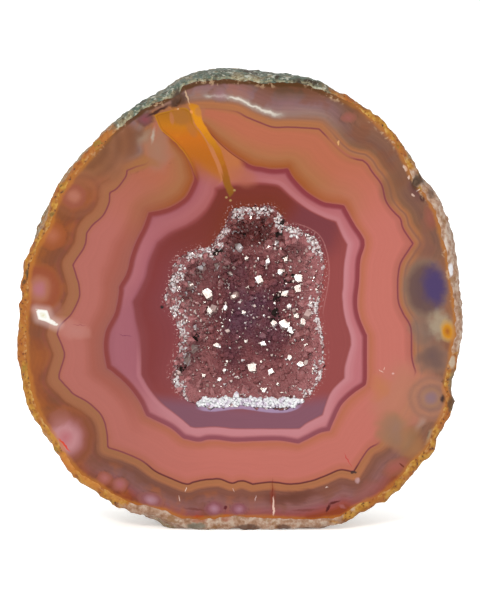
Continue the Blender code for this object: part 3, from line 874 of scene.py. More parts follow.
def right_hand_patches(paint, face, colour):
    """The blue-violet patch on the right in its grey ring, and the yellow spot in its pale one."""
    flat, fine = face.flat, face.fine
    ring = paint.spot(flat, 36.6, 48.6, 5.4, 7.4, -4.0) + fine * 0.15
    stops = [
        (0.0, seen(96, 76, 84)), (0.55, seen(106, 82, 80)), (0.75, seen(134, 106, 92)),
        (1.0, seen(160, 112, 96)),
    ]
    colour = paint.mix(paint.fade(ring, 1.0, 0.7) * 0.85, colour, paint.ramp(ring, stops))
    patch = paint.spot(flat, 38.4, 49.2, 2.8, 4.8, -8.0) + fine * 0.6
    colour = paint.mix(paint.fade(patch, 1.2, 0.35), colour, seen(84, 68, 106))
    pale = paint.spot(flat, 39.6, 41.4, 2.6, 3.2, -20.0) + fine * 0.9
    colour = paint.mix(paint.fade(pale, 1.25, 0.35) * 0.7, colour, seen(176, 158, 134))
    spot = paint.spot(flat, 41.0, 40.2, 1.5, 2.3, -8.0) + fine * 0.5
    shades = [(0.0, seen(170, 96, 28)), (0.5, seen(204, 136, 40)), (1.0, seen(200, 160, 98))]
    return paint.mix(paint.fade(spot, 1.25, 0.5), colour, paint.ramp(spot, shades))


def purple_line(paint, face, colour):
    """The purple line, dark along the bottom, which fades out beside the tube and in the clouds."""
    flat, x, z = face.flat, face.x, face.z
    drawn = 1 - paint.fade(z, 71.5, 74.5) * paint.fade(x, -11.0, -13.0)
    drawn = drawn * (1 - paint.fade(paint.spot(flat, 31.4, 24.4, 6.4, 9.4, 20.0), 1.0, 0.75))
    drawn = drawn * (1 - paint.fade(paint.spot(flat, 19.8, 77.0, 2.6, 3.8, -40.0), 1.2, 0.6) * 0.75)
    drawn = drawn * (1 - paint.fade(z, 78.0, 80.0) * paint.fade(x, 2.0, -3.0) * 0.8)
    line = paint.band(face.purple + face.fine * 0.12, -0.05, 0.26, 0.10)
    colour = paint.mix(line * 0.85 * drawn, colour, PLUM)
    dark_line = paint.band(face.purple + face.fine * 0.12, -0.10, 0.16, 0.10) * paint.fade(z, 14.5, 12.5)
    return paint.mix(dark_line * 0.8, colour, seen(96, 52, 48))


def maroon_line(paint, face, colour):
    """The maroon line, thin where it starts beside the tube, and the pale edge of the rose band."""
    fine, flat = face.fine, face.flat
    maroon = paint.attribute("maroon_line")
    maroon_band = paint.fade(maroon + fine * 0.1, -0.08, 0.10) * paint.fade(maroon + fine * 0.1, 1.35, 0.55)
    maroon_band = maroon_band * 0.92
    shade = paint.mix(face.under, paint.mix(face.side, seen(138, 66, 62), MAROON), seen(142, 78, 88))
    colour = paint.mix(maroon_band, colour, shade)
    beside = paint.spot(flat, -4.4, 74.6, 5.6, 3.4, 44.0) + fine * 0.2
    hidden = paint.fade(beside, 1.25, 0.75) * paint.fade(maroon, -0.05, 0.05)
    colour = paint.mix(hidden, colour, seen(186, 112, 74))
    lower = paint.spot(flat, 0.2, 70.9, 3.4, 2.2, 20.0) + fine * 0.2
    colour = paint.mix(paint.fade(lower, 1.2, 0.4) * 0.7, colour, seen(178, 104, 84))
    thin = paint.band(maroon, -0.06, 0.10, 0.08) * paint.fade(beside, 1.3, 1.1)
    colour = paint.mix(thin * 0.85, colour, seen(120, 62, 40))
    rose = paint.attribute("rose_edge")
    pale_edge = paint.band(rose, -0.9, 0.0, 0.25)
    pale_edge = pale_edge * (paint.fade(face.across, 0.0, 0.2) | paint.fade(face.height, -0.1, -0.3))
    return paint.mix(pale_edge * 0.35, colour, PALE_ROSE)


def round_the_hollow(paint, face, colour):
    """A lavender line under the hollow's floor, a thin pale line on its right, and stray frost."""
    fine, x, z = face.fine, face.x, face.z
    hollow = paint.attribute("hollow_edge")
    floor_line = paint.band(hollow + fine * 0.2, -0.50, 0.4, 0.16) * paint.band(x, -8.4, 11.6, 1.2)
    colour = paint.mix(floor_line * paint.fade(z, 26.0, 25.2) * 0.75, colour, LAVENDER)
    pale_line = paint.band(hollow + fine * 0.2, -1.05, -0.85, 0.08) * paint.fade(x, 10.0, 12.0)
    colour = paint.mix(pale_line * paint.fade(z, 42.0, 46.0) * 0.5, colour, seen(186, 122, 120))
    stray = paint.fade(paint.cloud(face.flat, 0.42, 2.0), 0.58, 0.64)
    stray = stray * paint.fade(hollow + face.waver, -1.3, 0.0) * paint.fade(z, 25.6, 27.5)
    return paint.mix(stray * 0.8, colour, seen(222, 180, 176))


def orange_tube(paint, face, colour):
    """The orange tube: two lobes that meet in a pink seam, with brown lumps where it leaves the rind."""
    flat, fine, waver, x, z = face.flat, face.fine, face.waver, face.x, face.z
    left = paint.attribute("tube_left")
    right = paint.attribute("tube_right")
    depth = paint.cloud(flat, 4.5, 2.0)
    left_orange = paint.ramp((z + waver * 2.0 - TUBE_FOOT) / TUBE_HEIGHT, [
        (0.10, seen(172, 102, 60)), (0.30, seen(177, 102, 34)), (0.50, seen(187, 106, 20)),
        (0.62, seen(198, 110, 17)), (0.75, seen(192, 118, 20)), (0.88, seen(168, 108, 20)),
    ])
    left_orange = paint.mix(paint.fade(depth, 0.56, 0.66) * 0.5, left_orange, seen(212, 128, 18))
    left_edge = paint.band(left + fine * 0.2, -0.15, 0.25, 0.12)
    left_orange = paint.mix(left_edge * 0.5, left_orange, seen(186, 128, 44))
    left_share = paint.fade(left + fine * 0.3, -0.12, 0.14) * paint.fade(z + x * 0.3 + waver, 66.4, 72.6)
    colour = paint.mix(left_share, colour, left_orange)
    dark_edge = paint.band(left + fine * 0.2, 0.25, 0.45, 0.10) * left_share * paint.fade(x, -8.0, -10.0)
    colour = paint.mix(dark_edge * 0.45, colour, seen(150, 92, 20))
    right_orange = paint.ramp((z - TUBE_FOOT) / TUBE_HEIGHT, [
        (0.0, seen(126, 88, 24)), (0.12, seen(146, 94, 30)), (0.26, seen(160, 96, 32)),
        (0.40, seen(178, 102, 28)), (0.56, seen(192, 122, 40)), (0.74, seen(220, 140, 28)),
        (0.88, seen(218, 142, 26)), (0.98, seen(190, 122, 50)),
    ])
    right_orange = paint.mix(paint.fade(depth, 0.44, 0.34) * 0.5, right_orange, seen(182, 114, 22))
    colour = paint.mix(paint.fade(right + fine * 0.4, -0.22, 0.20), colour, right_orange)
    seam = paint.band(left + fine * 0.1, -0.10, 0.12, 0.10) * paint.fade(right, -1.0, -0.6)
    wide_seam = paint.band(left, -0.46, 0.34, 0.14) * paint.fade(right, -0.8, -0.5)
    seam = (seam | wide_seam * paint.band(z, 71.4, 77.0, 1.0)) * 0.85
    seam = seam * paint.fade(z, 69.0, 71.0) * paint.fade(z, 82.6, 81.4)
    colour = paint.mix(seam, colour, seen(196, 122, 84))
    for (spot_x, spot_z), (half_width, half_height), turn, strength, shade in TUBE_LUMPS:
        lump = paint.spot(flat, spot_x, spot_z, half_width, half_height, turn) + fine * 0.6
        colour = paint.mix(paint.fade(lump, 1.1, 0.5) * strength, colour, seen(*shade))
    for spot_x, spot_z in TUBE_DOTS:
        dot = paint.spot(flat, spot_x, spot_z, 0.35, 0.3)
        colour = paint.mix(paint.fade(dot, 1.1, 0.3) * 0.6, colour, seen(200, 170, 110))
    return colour


def chips_and_marks(paint, face, colour):
    """A painted highlight, a lamp's reflection in a small chip, in its painted pale glow, and the cracks, chips
    and specks.
    """
    # Painted highlight: the white of a lamp's reflection in a small chip, with a painted pale glow round it
    white = paint.attribute("white_chip") + face.fine * 0.25
    colour = paint.mix(paint.fade(white, -1.6, 0.0) * 0.5, colour, seen(222, 186, 180))
    highlight_colour = paint.ramp((white + 0.2) / 1.4, [
        (0.1, seen(240, 226, 214)), (0.35, seen(253, 250, 246)), (0.9, seen(226, 214, 176)),
    ])
    colour = paint.mix(paint.fade(white, -0.14, 0.06), colour, highlight_colour)
    stirred = paint.stirred(face.flat, 0.9, 0.7)
    for (x, z), (half_width, half_height), turn, soft, strength, shade in MARKS:
        mark = paint.spot(stirred, x, z, half_width, half_height, turn)
        colour = paint.mix(paint.fade(mark, 1.0, 1.0 - soft) * strength, colour, seen(*shade))
    return colour


def broken_edge(paint, face, colour):
    """The face's edge: a painted glow of light through its translucent edge, and a dark ragged step under the
    grey rind.
    """
    flat, waver = face.flat, face.waver
    edge = paint.attribute("face_edge") + face.fine * 0.7
    grey_rim = paint.attribute("grey_rim")
    # Painted glow: light through the translucent edge, painted amber along it, left off under the grey rind
    glow = paint.fade(edge + waver * 1.4, 0.9, 0.1) * (1 - grey_rim)
    colour = paint.mix(glow * 0.55, colour, seen(196, 124, 58))
    colour = paint.mix(paint.fade(edge + waver, 1.0, 0.5) * grey_rim * 0.9, colour, DARK_BROWN)
    crumbs = paint.fade(paint.cloud(flat, 0.9, 3.0), 0.50, 0.62) * paint.fade(edge + waver, 1.3, 0.4)
    crumbs = crumbs * paint.fade(paint.cloud(flat, 5.0, 1.0), 0.46, 0.56)
    crumbs = crumbs * paint.fade(face.z + face.x * 0.4, 58.0, 70.0)
    colour = paint.mix(crumbs * 0.7, colour, seen(206, 168, 134))
    chip = paint.mix(paint.cloud(flat, 1.0, 2.0), seen(52, 38, 32), seen(132, 94, 74))
    return paint.mix(paint.fade(paint.attribute("chipped"), 0.10, 0.6) * 0.9, colour, chip)


def polished_agate():
    """The banded agate, polished."""
    paint = Paint("polished_agate")
    face = Face(paint)
    inner = inner_bands(paint, face)
    outer = outer_bands(paint, face)
    colour = paint.mix(paint.fade(face.purple, -0.08, 0.08), outer, inner)
    colour = faint_layers(paint, face, colour)
    patch_colour = paint.node("ShaderNodeAttribute", {"attribute_name": "patch_colour"}, {}, "Color")
    colour = paint.mix(paint.attribute("patch_cover"), colour, patch_colour)
    for layer in (
        right_hand_patches, purple_line, maroon_line, round_the_hollow, orange_tube, chips_and_marks,
        broken_edge,
    ):
        colour = layer(paint, face, colour)
    sockets = {
        "Base Color": colour, "Roughness": 0.16 + face.fine * 0.05, "IOR": QUARTZ_IOR,
        "Specular IOR Level": FACE_GLOSS,
    }
    return paint.finish(sockets)


# Stains and bare places on the rim, with a painted highlight and painted contact shadow among them: middle and
# half sizes as seen from the front, how strong, and colour
RIM_STAINS_AND_PAINTED_LIGHT = [
    ((-34.0, 14.4), (3.0, 3.6), 0.75, (204, 124, 58)), ((-29.6, 10.6), (3.0, 2.6), 0.7, (208, 132, 62)),
    ((-24.6, 7.6), (3.0, 2.0), 0.6, (206, 134, 70)), ((-38.0, 19.6), (2.4, 3.4), 0.5, (198, 132, 62)),
    # The near-white spot at 41.6, 52.4 is a painted highlight
    ((41.6, 52.4), (0.6, 1.6), 0.95, (240, 234, 236)), ((-8.6, 2.2), (2.0, 0.6), 0.5, (170, 84, 52)),
    # The dark brown spots at 1.2, 0.6 and 8.4, 0.6 are painted contact shadow under the rim's lower edge
    ((-3.2, 2.4), (1.2, 0.6), 0.5, (166, 80, 50)), ((1.2, 0.6), (3.0, 0.9), 0.8, (92, 58, 42)),
    ((8.4, 0.6), (1.8, 0.8), 0.8, (96, 60, 44)), ((-9.0, 0.9), (2.4, 0.9), 0.7, (110, 112, 98)),
    ((-42.3, 51.6), (0.7, 1.1), 0.8, (84, 66, 40)), ((-43.1, 50.0), (0.5, 0.6), 0.8, (90, 66, 36)),
    ((-37.6, 63.4), (0.8, 0.6), 0.7, (104, 84, 50)), ((34.4, 75.0), (1.6, 1.4), 0.6, (120, 92, 60)),
    ((36.0, 71.0), (1.2, 2.0), 0.85, (76, 58, 48)), ((37.6, 67.6), (0.9, 1.2), 0.7, (104, 76, 62)),
    ((42.4, 29.6), (1.3, 3.6), 0.7, (118, 110, 90)), ((42.0, 25.6), (1.1, 1.8), 0.75, (66, 58, 48)),
    ((42.0, 34.0), (0.8, 1.6), 0.6, (206, 196, 176)), ((40.6, 57.4), (0.6, 2.0), 0.6, (232, 216, 204)),
]


def rind():
    """The rough skin of the nodule, and its broken rim."""
    paint = Paint("rind")
    here = paint.millimetres()
    turn = paint.attribute("rim_turn")
    grey_rim = paint.attribute("grey_rim")
    pale_rim = paint.attribute("pale_rim")
    blotch = paint.cloud(here, 6.0, 3.0)
    lump = paint.cloud(here, 2.6, 3.0, 0.6)
    speck = paint.cloud(here, 1.2, 3.0)
    flecks = paint.cloud(here, 0.6, 2.0)
    gold = paint.ramp(speck, [
        (0.32, seen(138, 80, 32)), (0.46, seen(178, 116, 42)), (0.62, seen(202, 148, 66)),
    ])
    gold = paint.mix(paint.fade(blotch, 0.50, 0.60) * 0.7, gold, seen(172, 94, 40))
    gold = paint.mix(paint.fade(lump, 0.40, 0.32) * 0.7, gold, seen(150, 122, 52))
    gold = paint.mix(paint.fade(flecks, 0.37, 0.31), gold, seen(92, 60, 34))
    pale_line = paint.band(turn + (speck - 0.5) * 0.5, -0.02, 0.20, 0.06) * paint.fade(lump, 0.44, 0.56)
    gold = paint.mix(pale_line * paint.fade(flecks, 0.42, 0.56) * 0.3, gold, seen(220, 182, 130))
    grey = paint.ramp(lump, [
        (0.34, seen(70, 58, 44)), (0.42, seen(98, 98, 82)), (0.50, seen(98, 114, 102)),
        (0.56, seen(118, 112, 92)),
        (0.62, seen(150, 138, 112)), (0.68, seen(112, 92, 66)),
    ])
    grey = paint.mix(paint.fade(blotch, 0.56, 0.64) * 0.6, grey, seen(128, 104, 76))
    bright = paint.fade(speck, 0.56, 0.66) | paint.fade(flecks, 0.60, 0.68) * 0.7
    grey = paint.mix(bright * 0.8, grey, seen(206, 202, 186))
    grey = paint.mix(paint.fade(flecks, 0.40, 0.33) * 0.8, grey, seen(66, 56, 44))
    lip = paint.band(turn + (speck - 0.5) * 0.6, 0.02, 0.20, 0.06) * paint.fade(speck, 0.40, 0.52)
    grey = paint.mix(lip * 0.45, grey, seen(196, 182, 146))
    pale = paint.ramp(speck, [
        (0.32, seen(150, 106, 78)), (0.48, seen(182, 142, 118)), (0.62, seen(206, 178, 158)),
    ])
    pale = paint.mix(paint.fade(lump, 0.42, 0.34) * 0.6, pale, seen(150, 104, 58))
    colour = paint.mix(paint.fade(pale_rim + (lump - 0.5) * 1.6, 0.3, 0.7), gold, pale)
    colour = paint.mix(paint.fade(grey_rim + (lump - 0.5) * 1.2, 0.3, 0.7), colour, grey)
    behind = paint.fade(turn + (speck - 0.5) * 0.3 + (blotch - 0.5) * 0.5, 1.0, 1.12)
    back_skin = paint.ramp(blotch, [
        (0.32, seen(112, 96, 70)), (0.50, seen(140, 120, 90)), (0.66, seen(168, 140, 98)),
    ])
    back_skin = paint.mix(paint.fade(lump, 0.44, 0.36) * 0.7, back_skin, seen(104, 108, 92))
    back_skin = paint.mix(paint.fade(flecks, 0.56, 0.66) * 0.8, back_skin, seen(204, 194, 170))
    back_skin = paint.mix(paint.fade(speck, 0.40, 0.32), back_skin, seen(82, 62, 44))
    colour = paint.mix(behind, colour, back_skin)
    stirred = paint.stirred(paint.flat(here), 0.9, 0.8)
    # The stains, with the painted highlight and the painted contact shadow among them
    for (x, z), (half_width, half_height), strength, shade in RIM_STAINS_AND_PAINTED_LIGHT:
        stain_and_painted_light = paint.spot(stirred, x, z, half_width, half_height)
        stain_and_painted_light = paint.fade(stain_and_painted_light, 1.1, 0.5) * paint.fade(turn, 1.1, 0.9)
        colour = paint.mix(stain_and_painted_light * strength, colour, seen(*shade))
    chip = paint.mix(speck, seen(52, 38, 30), seen(126, 98, 76))
    colour = paint.mix(paint.fade(paint.attribute("chipped"), 0.10, 0.6) * 0.9, colour, chip)
    bump = speck * 0.7 + flecks * 0.3
    return paint.finish({"Base Color": colour, "Roughness": 0.62, "Specular IOR Level": 0.3}, bump, 0.25 * MM)


def build_stone():
    """The agate: a ball whose rings are laid along the hollow, the face, the rim and the back."""
    counts = (HOLLOW_RINGS, FACE_RINGS, RIM_RINGS, BACK_RINGS)
    rings = sum(counts)
    face_start, face_end, rim_end = np.cumsum(counts)[:3]
    bm = bmesh.new()
    bmesh.ops.create_uvsphere(bm, u_segments=AROUND, v_segments=rings, radius=1.0)
    bm.verts.ensure_lookup_table()
    ball = np.array([vertex.co for vertex in bm.verts])
    ring = np.round(np.arccos(np.clip(ball[:, 2], -1.0, 1.0)) / math.pi * rings).astype(int)
    angle = np.arctan2(ball[:, 1], ball[:, 0])

    points = np.empty_like(ball)
    share = np.clip((ring - face_start) / FACE_RINGS, 0.0, 1.0)
    in_hollow = ring < face_start
    on_face = (ring >= face_start) & (ring <= face_end)
    on_rim = (ring > face_end) & (ring <= rim_end)
    behind = ring > rim_end
    points[in_hollow] = hollow_wall(angle[in_hollow], 1 - ring[in_hollow] / face_start, 0.0)
    inner = reach(HOLLOW_POLAR, angle[on_face])
    outer = face_reach(angle[on_face])
    points[on_face] = place(angle[on_face], inner + (outer - inner) * share[on_face], 0.0)
    points[on_rim] = rim(angle[on_rim], (ring[on_rim] - face_end) / RIM_RINGS)
    points[behind] = back(angle[behind], (ring[behind] - rim_end) / BACK_RINGS)

    # The edges of the polished face are ragged, and the rind is rough
    outwards = unit(points - CENTRE)
    by_angle = place(angle, 43 * MM, 0.0)
    outer_rag = rough_shift(by_angle, EDGE_RAG)
    by_hollow = place(angle, 20 * MM, 0.0)
    inner_rag = rough_shift(by_hollow, HOLLOW_RAG)
    near_outer = np.clip(1 - np.abs(ring - face_end) / RAG_RINGS, 0.0, 1.0)
    near_inner = np.clip(1 - np.abs(ring - face_start) / RAG_RINGS, 0.0, 1.0)
    shift = outer_rag * near_outer + inner_rag * near_inner
    rough = on_rim | behind
    knobs = rough_shift(points[rough], KNOBS, KNOB_LEVEL)
    shift[rough] += knobs * np.clip((ring[rough] - face_end) / 3, 0.0, 1.0)
    points += outwards * shift[:, None]
    by_chip = grain(points, 0.9 * MM)
    chipped = np.zeros(len(points))
    for middle, half_sizes, turn in CHIPS:
        turned = (points - np.array(middle)) @ np.array(Matrix.Rotation(math.radians(turn), 3, "Y"))
        away = np.linalg.norm(turned / np.array(half_sizes), axis=1)
        inside = np.clip(1.15 - away + 0.25 * by_chip, 0.0, 1.0)
        points -= (outwards - np.array((0.0, 1.0, 0.0))) * (inside * 0.8 * half_sizes[0])[:, None]
        chipped = np.maximum(chipped, inside)
    points = np.clip(points, np.array(cad_box[0]), np.array(cad_box[1]))

    for vertex, point in zip(bm.verts, points):
        vertex.co = point
    bmesh.ops.recalc_face_normals(bm, faces=bm.faces)
    for face in bm.faces:
        polished = all(ring[vertex.index] <= face_end for vertex in face.verts)
        face.material_index = 0 if polished else 1
        face.smooth = True

    mesh = bpy.data.meshes.new("agate_stone")
    bm.to_mesh(mesh)
    bm.free()
    mesh.set_sharp_from_angle(angle=math.radians(SHARP_EDGE))
    stone = bpy.data.objects.new("agate_stone", mesh)
    bpy.context.scene.collection.objects.link(stone)
    stone.data.materials.append(polished_agate())
    stone.data.materials.append(rind())
    mark_bands(mesh, points, on_face | in_hollow)
    lay_patches(mesh, points, on_face | in_hollow)
    behind_turn = np.where(behind, 1.0 + (ring - rim_end) / BACK_RINGS, 0.0)
    rim_turn = np.where(on_rim, (ring - face_end) / RIM_RINGS, behind_turn)
    lay_attribute(mesh, "rim_turn", rim_turn)
    lay_attribute(mesh, "chipped", chipped)
    lay_attribute(mesh, "grey_rim", np.minimum(hump(angle, *GREY_RIM) * 2.5, 1.0))
    lay_attribute(mesh, "pale_rim", np.minimum(sum(hump(angle, *part) for part in PALE_RIMS) * 2.0, 1.0))
    return stone


def lay_attribute(mesh, name, values):
    """Lays one number a vertex on the mesh, for the materials to read."""
    mesh.attributes.new(name, "FLOAT", "POINT").data.foreach_set("value", values.astype(np.float32))


def mark_bands(mesh, points, wanted):
    """Lays on the mesh how far each point is from each contour, and how far the bands have grown there."""
    flat = points[:, [0, 2]] / MM
    rings = {
        "face_edge": polar_ring(face_reach),
        "purple_line": ring_of(PURPLE_LINE),
        "maroon_line": ring_of(MAROON_LINE),
        "rose_edge": ring_of(ROSE_INNER_EDGE),
        "hollow_edge": polar_ring(lambda angle: reach(HOLLOW_POLAR, angle)),
        "tube_left": ring_of(TUBE_LEFT),
        "tube_right": ring_of(TUBE_RIGHT),
        # The outline of the painted highlight on the left
        "white_chip": np.array(PAINTED_HIGHLIGHT_OUTLINE),
    }
    inside = {}
    for name, ring in rings.items():
        values = np.full(len(points), -9.0)
        values[wanted] = distance_inside(flat[wanted], ring)
        inside[name] = values
        lay_attribute(mesh, name, values)
    order = ["face_edge", "purple_line", "maroon_line", "rose_edge", "hollow_edge"]
    growth = np.zeros(len(points))
    for outer, inner in zip(order, order[1:]):
        entered = np.maximum(inside[outer], 0.0)
        left = np.maximum(-inside[inner], 0.0)
        growth += np.where(inside[inner] > 0, 1.0, entered / np.maximum(entered + left, 1e-6))
    lay_attribute(mesh, "growth", growth)


def lay_patches(mesh, points, wanted):
    """Lays the clouds and the eyes on the mesh, as a colour and how much of it covers the bands.

    The clouds are ragged, so their places are stirred by noise, and the eyes only a little.
    """
    cover = np.zeros(len(points))
    shade = np.full((len(points), 4), 1.0)
    here = points[wanted]
    flat = here[:, [0, 2]] / MM
    stir, fine_stir = (
        np.stack([grain(here, apart), grain(here + 0.1, apart)], axis=-1) for apart in (4.0 * MM, 1.4 * MM)
    )
    kinds = [(CLOUDS, flat + 1.5 * stir + 0.5 * fine_stir, 0.45), (EYES, flat + 0.25 * fine_stir, 0.26)]
    covered, colour = np.zeros(len(here)), np.zeros((len(here), 3))
    for patches, at, soft in kinds:
        for (x, z), sizes, turn, strength, shades in patches:
            away = [(at - (x, z)) @ axis / size for axis, size in zip(turned_axes(turn), sizes)]
            ring = np.hypot(*away)
            fade = np.clip((1.0 - ring) / soft, 0.0, 1.0)
            share = (fade * fade * (3 - 2 * fade) * strength)[:, None]
            stops = np.array([seen(*one) for one in shades])
            steps = ring * (len(shades) - 0.6)
            own = np.stack([np.interp(steps, range(len(shades)), level) for level in stops.T], axis=-1)
            colour = colour * (1 - share) + own * share
            covered = covered * (1 - share[:, 0]) + share[:, 0]
    cover[wanted] = covered
    shade[wanted, :3] = colour / np.maximum(covered, 1e-6)[:, None]
    lay_attribute(mesh, "patch_cover", cover)
    colours = mesh.attributes.new("patch_colour", "FLOAT_COLOR", "POINT")
    colours.data.foreach_set("color", shade.astype(np.float32).ravel())


def frosted_quartz():
    """The frosty grains round the hollow's edge."""
    paint = Paint("frosted_quartz")
    cloud = paint.cloud(paint.millimetres(), 0.5, 2.0)
    colour = paint.ramp(cloud, [
        (0.36, seen(176, 122, 124)), (0.47, seen(226, 194, 194)), (0.57, seen(255, 248, 248)),
    ])
    return paint.finish({"Base Color": colour, "Roughness": 0.25, "IOR": QUARTZ_IOR})


def snow_quartz():
    """The white crust along the hollow's floor."""
    paint = Paint("snow_quartz")
    cloud = paint.cloud(paint.millimetres(), 0.8, 2.0)
    colour = paint.ramp(cloud, [
        (0.34, seen(222, 202, 222)), (0.46, seen(248, 240, 246)), (0.60, seen(255, 253, 253)),
    ])
    return paint.finish({"Base Color": colour, "Roughness": 0.3, "IOR": QUARTZ_IOR})


def bed_quartz():
    """The smallest crystals, between the bigger ones: purple in the middle, red-brown round it, and darker red
    at the top, where the darkening is painted shade under the hollow's upper lip.
    """
    paint = Paint("bed_quartz")
    here = paint.millimetres()
    patch = paint.cloud(here, 5.0, 2.0) - 0.5
    middle = paint.spot(paint.flat(here), 2.0, 42.0, 11.0, 14.0) + patch * 1.6
    colour = paint.ramp(middle, [
        (0.15, (0.085, 0.031, 0.048)), (0.55, (0.120, 0.040, 0.048)), (0.80, (0.170, 0.056, 0.062)),
        (1.0, (0.240, 0.090, 0.094)),
    ])
    # Darker and redder at the top: painted shade under the hollow's upper lip, over the crystals' red-brown
    top = paint.spot(paint.flat(here), 2.0, 60.5, 8.5, 6.5) + patch * 1.2
    colour = paint.mix(paint.fade(top, 1.1, 0.5) * 0.8, colour, (0.110, 0.026, 0.024))
    speck = paint.cloud(here, 1.4, 2.0)
    colour = paint.mix(paint.fade(speck, 0.36, 0.28) * 0.4, colour, (0.06, 0.022, 0.024))
    sockets = {
        "Base Color": colour, "Roughness": 0.15, "IOR": QUARTZ_IOR, "Specular IOR Level": CRYSTAL_GLOSS,
    }
    return paint.finish(sockets)


def clear_quartz():
    """The bigger crystals: clear, faintly purple in the middle, and red-brown and darker at the top, where the
    darkening is painted shade under the hollow's upper lip.
    """
    paint = Paint("clear_quartz")
    here = paint.millimetres()
    cloud = paint.cloud(here, 1.3, 1.0)
    patch = paint.cloud(here, 5.0, 2.0) - 0.5
    flat = paint.flat(here)
    middle = paint.spot(flat, 2.0, 42.0, 11.0, 14.0) + patch * 1.6
    colour = paint.ramp(middle, [
        (0.15, (0.210, 0.082, 0.120)), (0.55, (0.280, 0.100, 0.114)), (0.80, (0.350, 0.122, 0.128)),
        (1.0, (0.420, 0.166, 0.172)),
    ])
    # Darker and redder at the top: painted shade under the hollow's upper lip, over the crystals' red-brown
    top = paint.spot(flat, 2.0, 60.5, 8.5, 6.5) + patch * 1.2
    colour = paint.mix(paint.fade(top, 1.1, 0.5) * 0.9, colour, (0.200, 0.048, 0.044))
    sockets = {
        "Base Color": colour, "Roughness": 0.04 + paint.fade(cloud, 0.45, 0.65) * 0.26, "IOR": QUARTZ_IOR,
        "Specular IOR Level": CRYSTAL_GLOSS, "Transmission Weight": CRYSTAL_CLEARNESS,
    }
    return paint.finish(sockets)


def flashing_quartz():
    """The facets that throw the soft box's light at the viewer, on a pale cream to white base colour that paints
    part of the glint.
    """
    paint = Paint("flashing_quartz")
    cloud = paint.cloud(paint.millimetres(), 2.4, 0.0)
    # Pale base colour: a painted glint, so that the facets look bright also where the soft box's light is cut
    # off
    colour = paint.mix(paint.fade(cloud, 0.50, 0.62), (0.32, 0.24, 0.22), (0.60, 0.56, 0.58))
    sockets = {"Base Color": colour, "Roughness": 0.06, "IOR": QUARTZ_IOR, "Specular IOR Level": FLASH_GLOSS}
    return paint.finish(sockets)


def milky_quartz():
    """The duller crystals, whose facets are milky."""
    paint = Paint("milky_quartz")
    cloud = paint.cloud(paint.millimetres(), 1.0, 2.0)
    colour = paint.mix(cloud, seen(158, 112, 112), seen(214, 176, 168))
    return paint.finish({"Base Color": colour, "Roughness": 0.35, "IOR": QUARTZ_IOR})


def dark_grains():
    """The dark mineral grains that sit on the crystals."""
    paint = Paint("dark_grains")
    cloud = paint.cloud(paint.millimetres(), 0.6, 2.0)
    colour = paint.mix(cloud, (0.002, 0.002, 0.002), (0.03, 0.018, 0.015))
    return paint.finish({"Base Color": colour, "Roughness": 0.7, "Specular IOR Level": 0.1})


def crust_points(direction):
    """Where points of a ball go on the crust: its back lines the hollow, the rest is the crystals' bed."""
    angle = np.arctan2(direction[:, 2], direction[:, 0])
    lining = direction[:, 1] >= BED_STARTS
    behind = np.clip((direction[:, 1] - BED_STARTS) / (1 - BED_STARTS), 0.0, 1.0)
    front = np.clip((BED_STARTS - direction[:, 1]) / (BED_STARTS + 1), 0.0, 1.0)
    wall = hollow_wall(angle, np.arcsin(behind) / (math.pi / 2), -CRUST_OVERLAP)
    rise = np.minimum(front / 0.12, 1.0)
    inset = (FIT_GAP + CRUST_THICKNESS + CRUST_OVERLAP) * rise - CRUST_OVERLAP
    bed = hollow_wall(angle, np.arcsin(front) / (math.pi / 2), inset)
    points = np.where(lining[:, None], wall, bed)
    points[:, 1] = np.maximum(points[:, 1], CUT_Y + CRUST_SET_BACK)
    return points


def crystal_bed(rng):
    """The bed of tiny crystal points, and each one's foot, direction and area."""
    bm = bmesh.new()
    bmesh.ops.create_icosphere(bm, subdivisions=BED_DIVISIONS, radius=1.0)
    cell = math.sqrt(4 * math.pi / len(bm.faces))
    ball = np.array([vertex.co for vertex in bm.verts])
    shaken = ball + np.array([[rng.uniform(-1, 1) for _ in range(3)] for _ in ball]) * cell * BED_SHAKE
    shaken = np.where(ball[:, 1:2] < BED_STARTS - 2 * cell, shaken, ball)
    for vertex, point in zip(bm.verts, crust_points(unit(shaken))):
        vertex.co = point
    bmesh.ops.recalc_face_normals(bm, faces=bm.faces)
    tree = BVHTree.FromBMesh(bm)
    mouth = Vector(CENTRE) + Vector((0.0, 0.25 * HOLLOW_DEPTH, 0.0))
    bed = [
        face for face in bm.faces
        if face.normal.dot(mouth - face.calc_center_median()) > 0
        and face.calc_center_median().y > CUT_Y + CRUST_SET_BACK * 1.5
    ]
    spots = [(face.calc_center_median(), face.normal.copy(), face.calc_area()) for face in bed]
    tips = bmesh.ops.poke(bm, faces=bed)["verts"]
    for tip, (_, normal, _) in zip(tips, spots):
        tip.co += normal * rng.uniform(*POINT_HEIGHTS) * MM
    return bm, tree, spots


def standing_crystals(rng, spots, eye):
    """Crystals all over the bed, which leave the photographed facets clear."""
    crystals = []
    for middle, normal, _ in rng.choices(spots, weights=[area for _, _, area in spots], k=CRYSTAL_COUNT):
        over = eye + (middle - eye) * ((CUT_Y - eye.y) / (middle.y - eye.y))
        if any(
            math.hypot(over.x / MM - x, over.z / MM - z) < radius * 1.2 + 0.3
            for x, z, radius in FLASHES + MILKY_FACETS
        ):
            continue
        small = rng.random() < 0.5
        radius = rng.uniform(*(SMALL_RADII if small else BIG_RADII))
        radius *= 0.6 + 0.4 * min(1.0, (middle.y - CUT_Y) / (4 * MM))
        lean = Vector(rng.gauss(0, 0.30) for _ in range(3))
        crystal = one_crystal(rng, radius * MM)
        stand_up(crystal, middle, (normal + lean).normalized(), rng.uniform(0, math.tau), 0.3 * radius * MM)
        crystals.append(crystal)
    return crystals


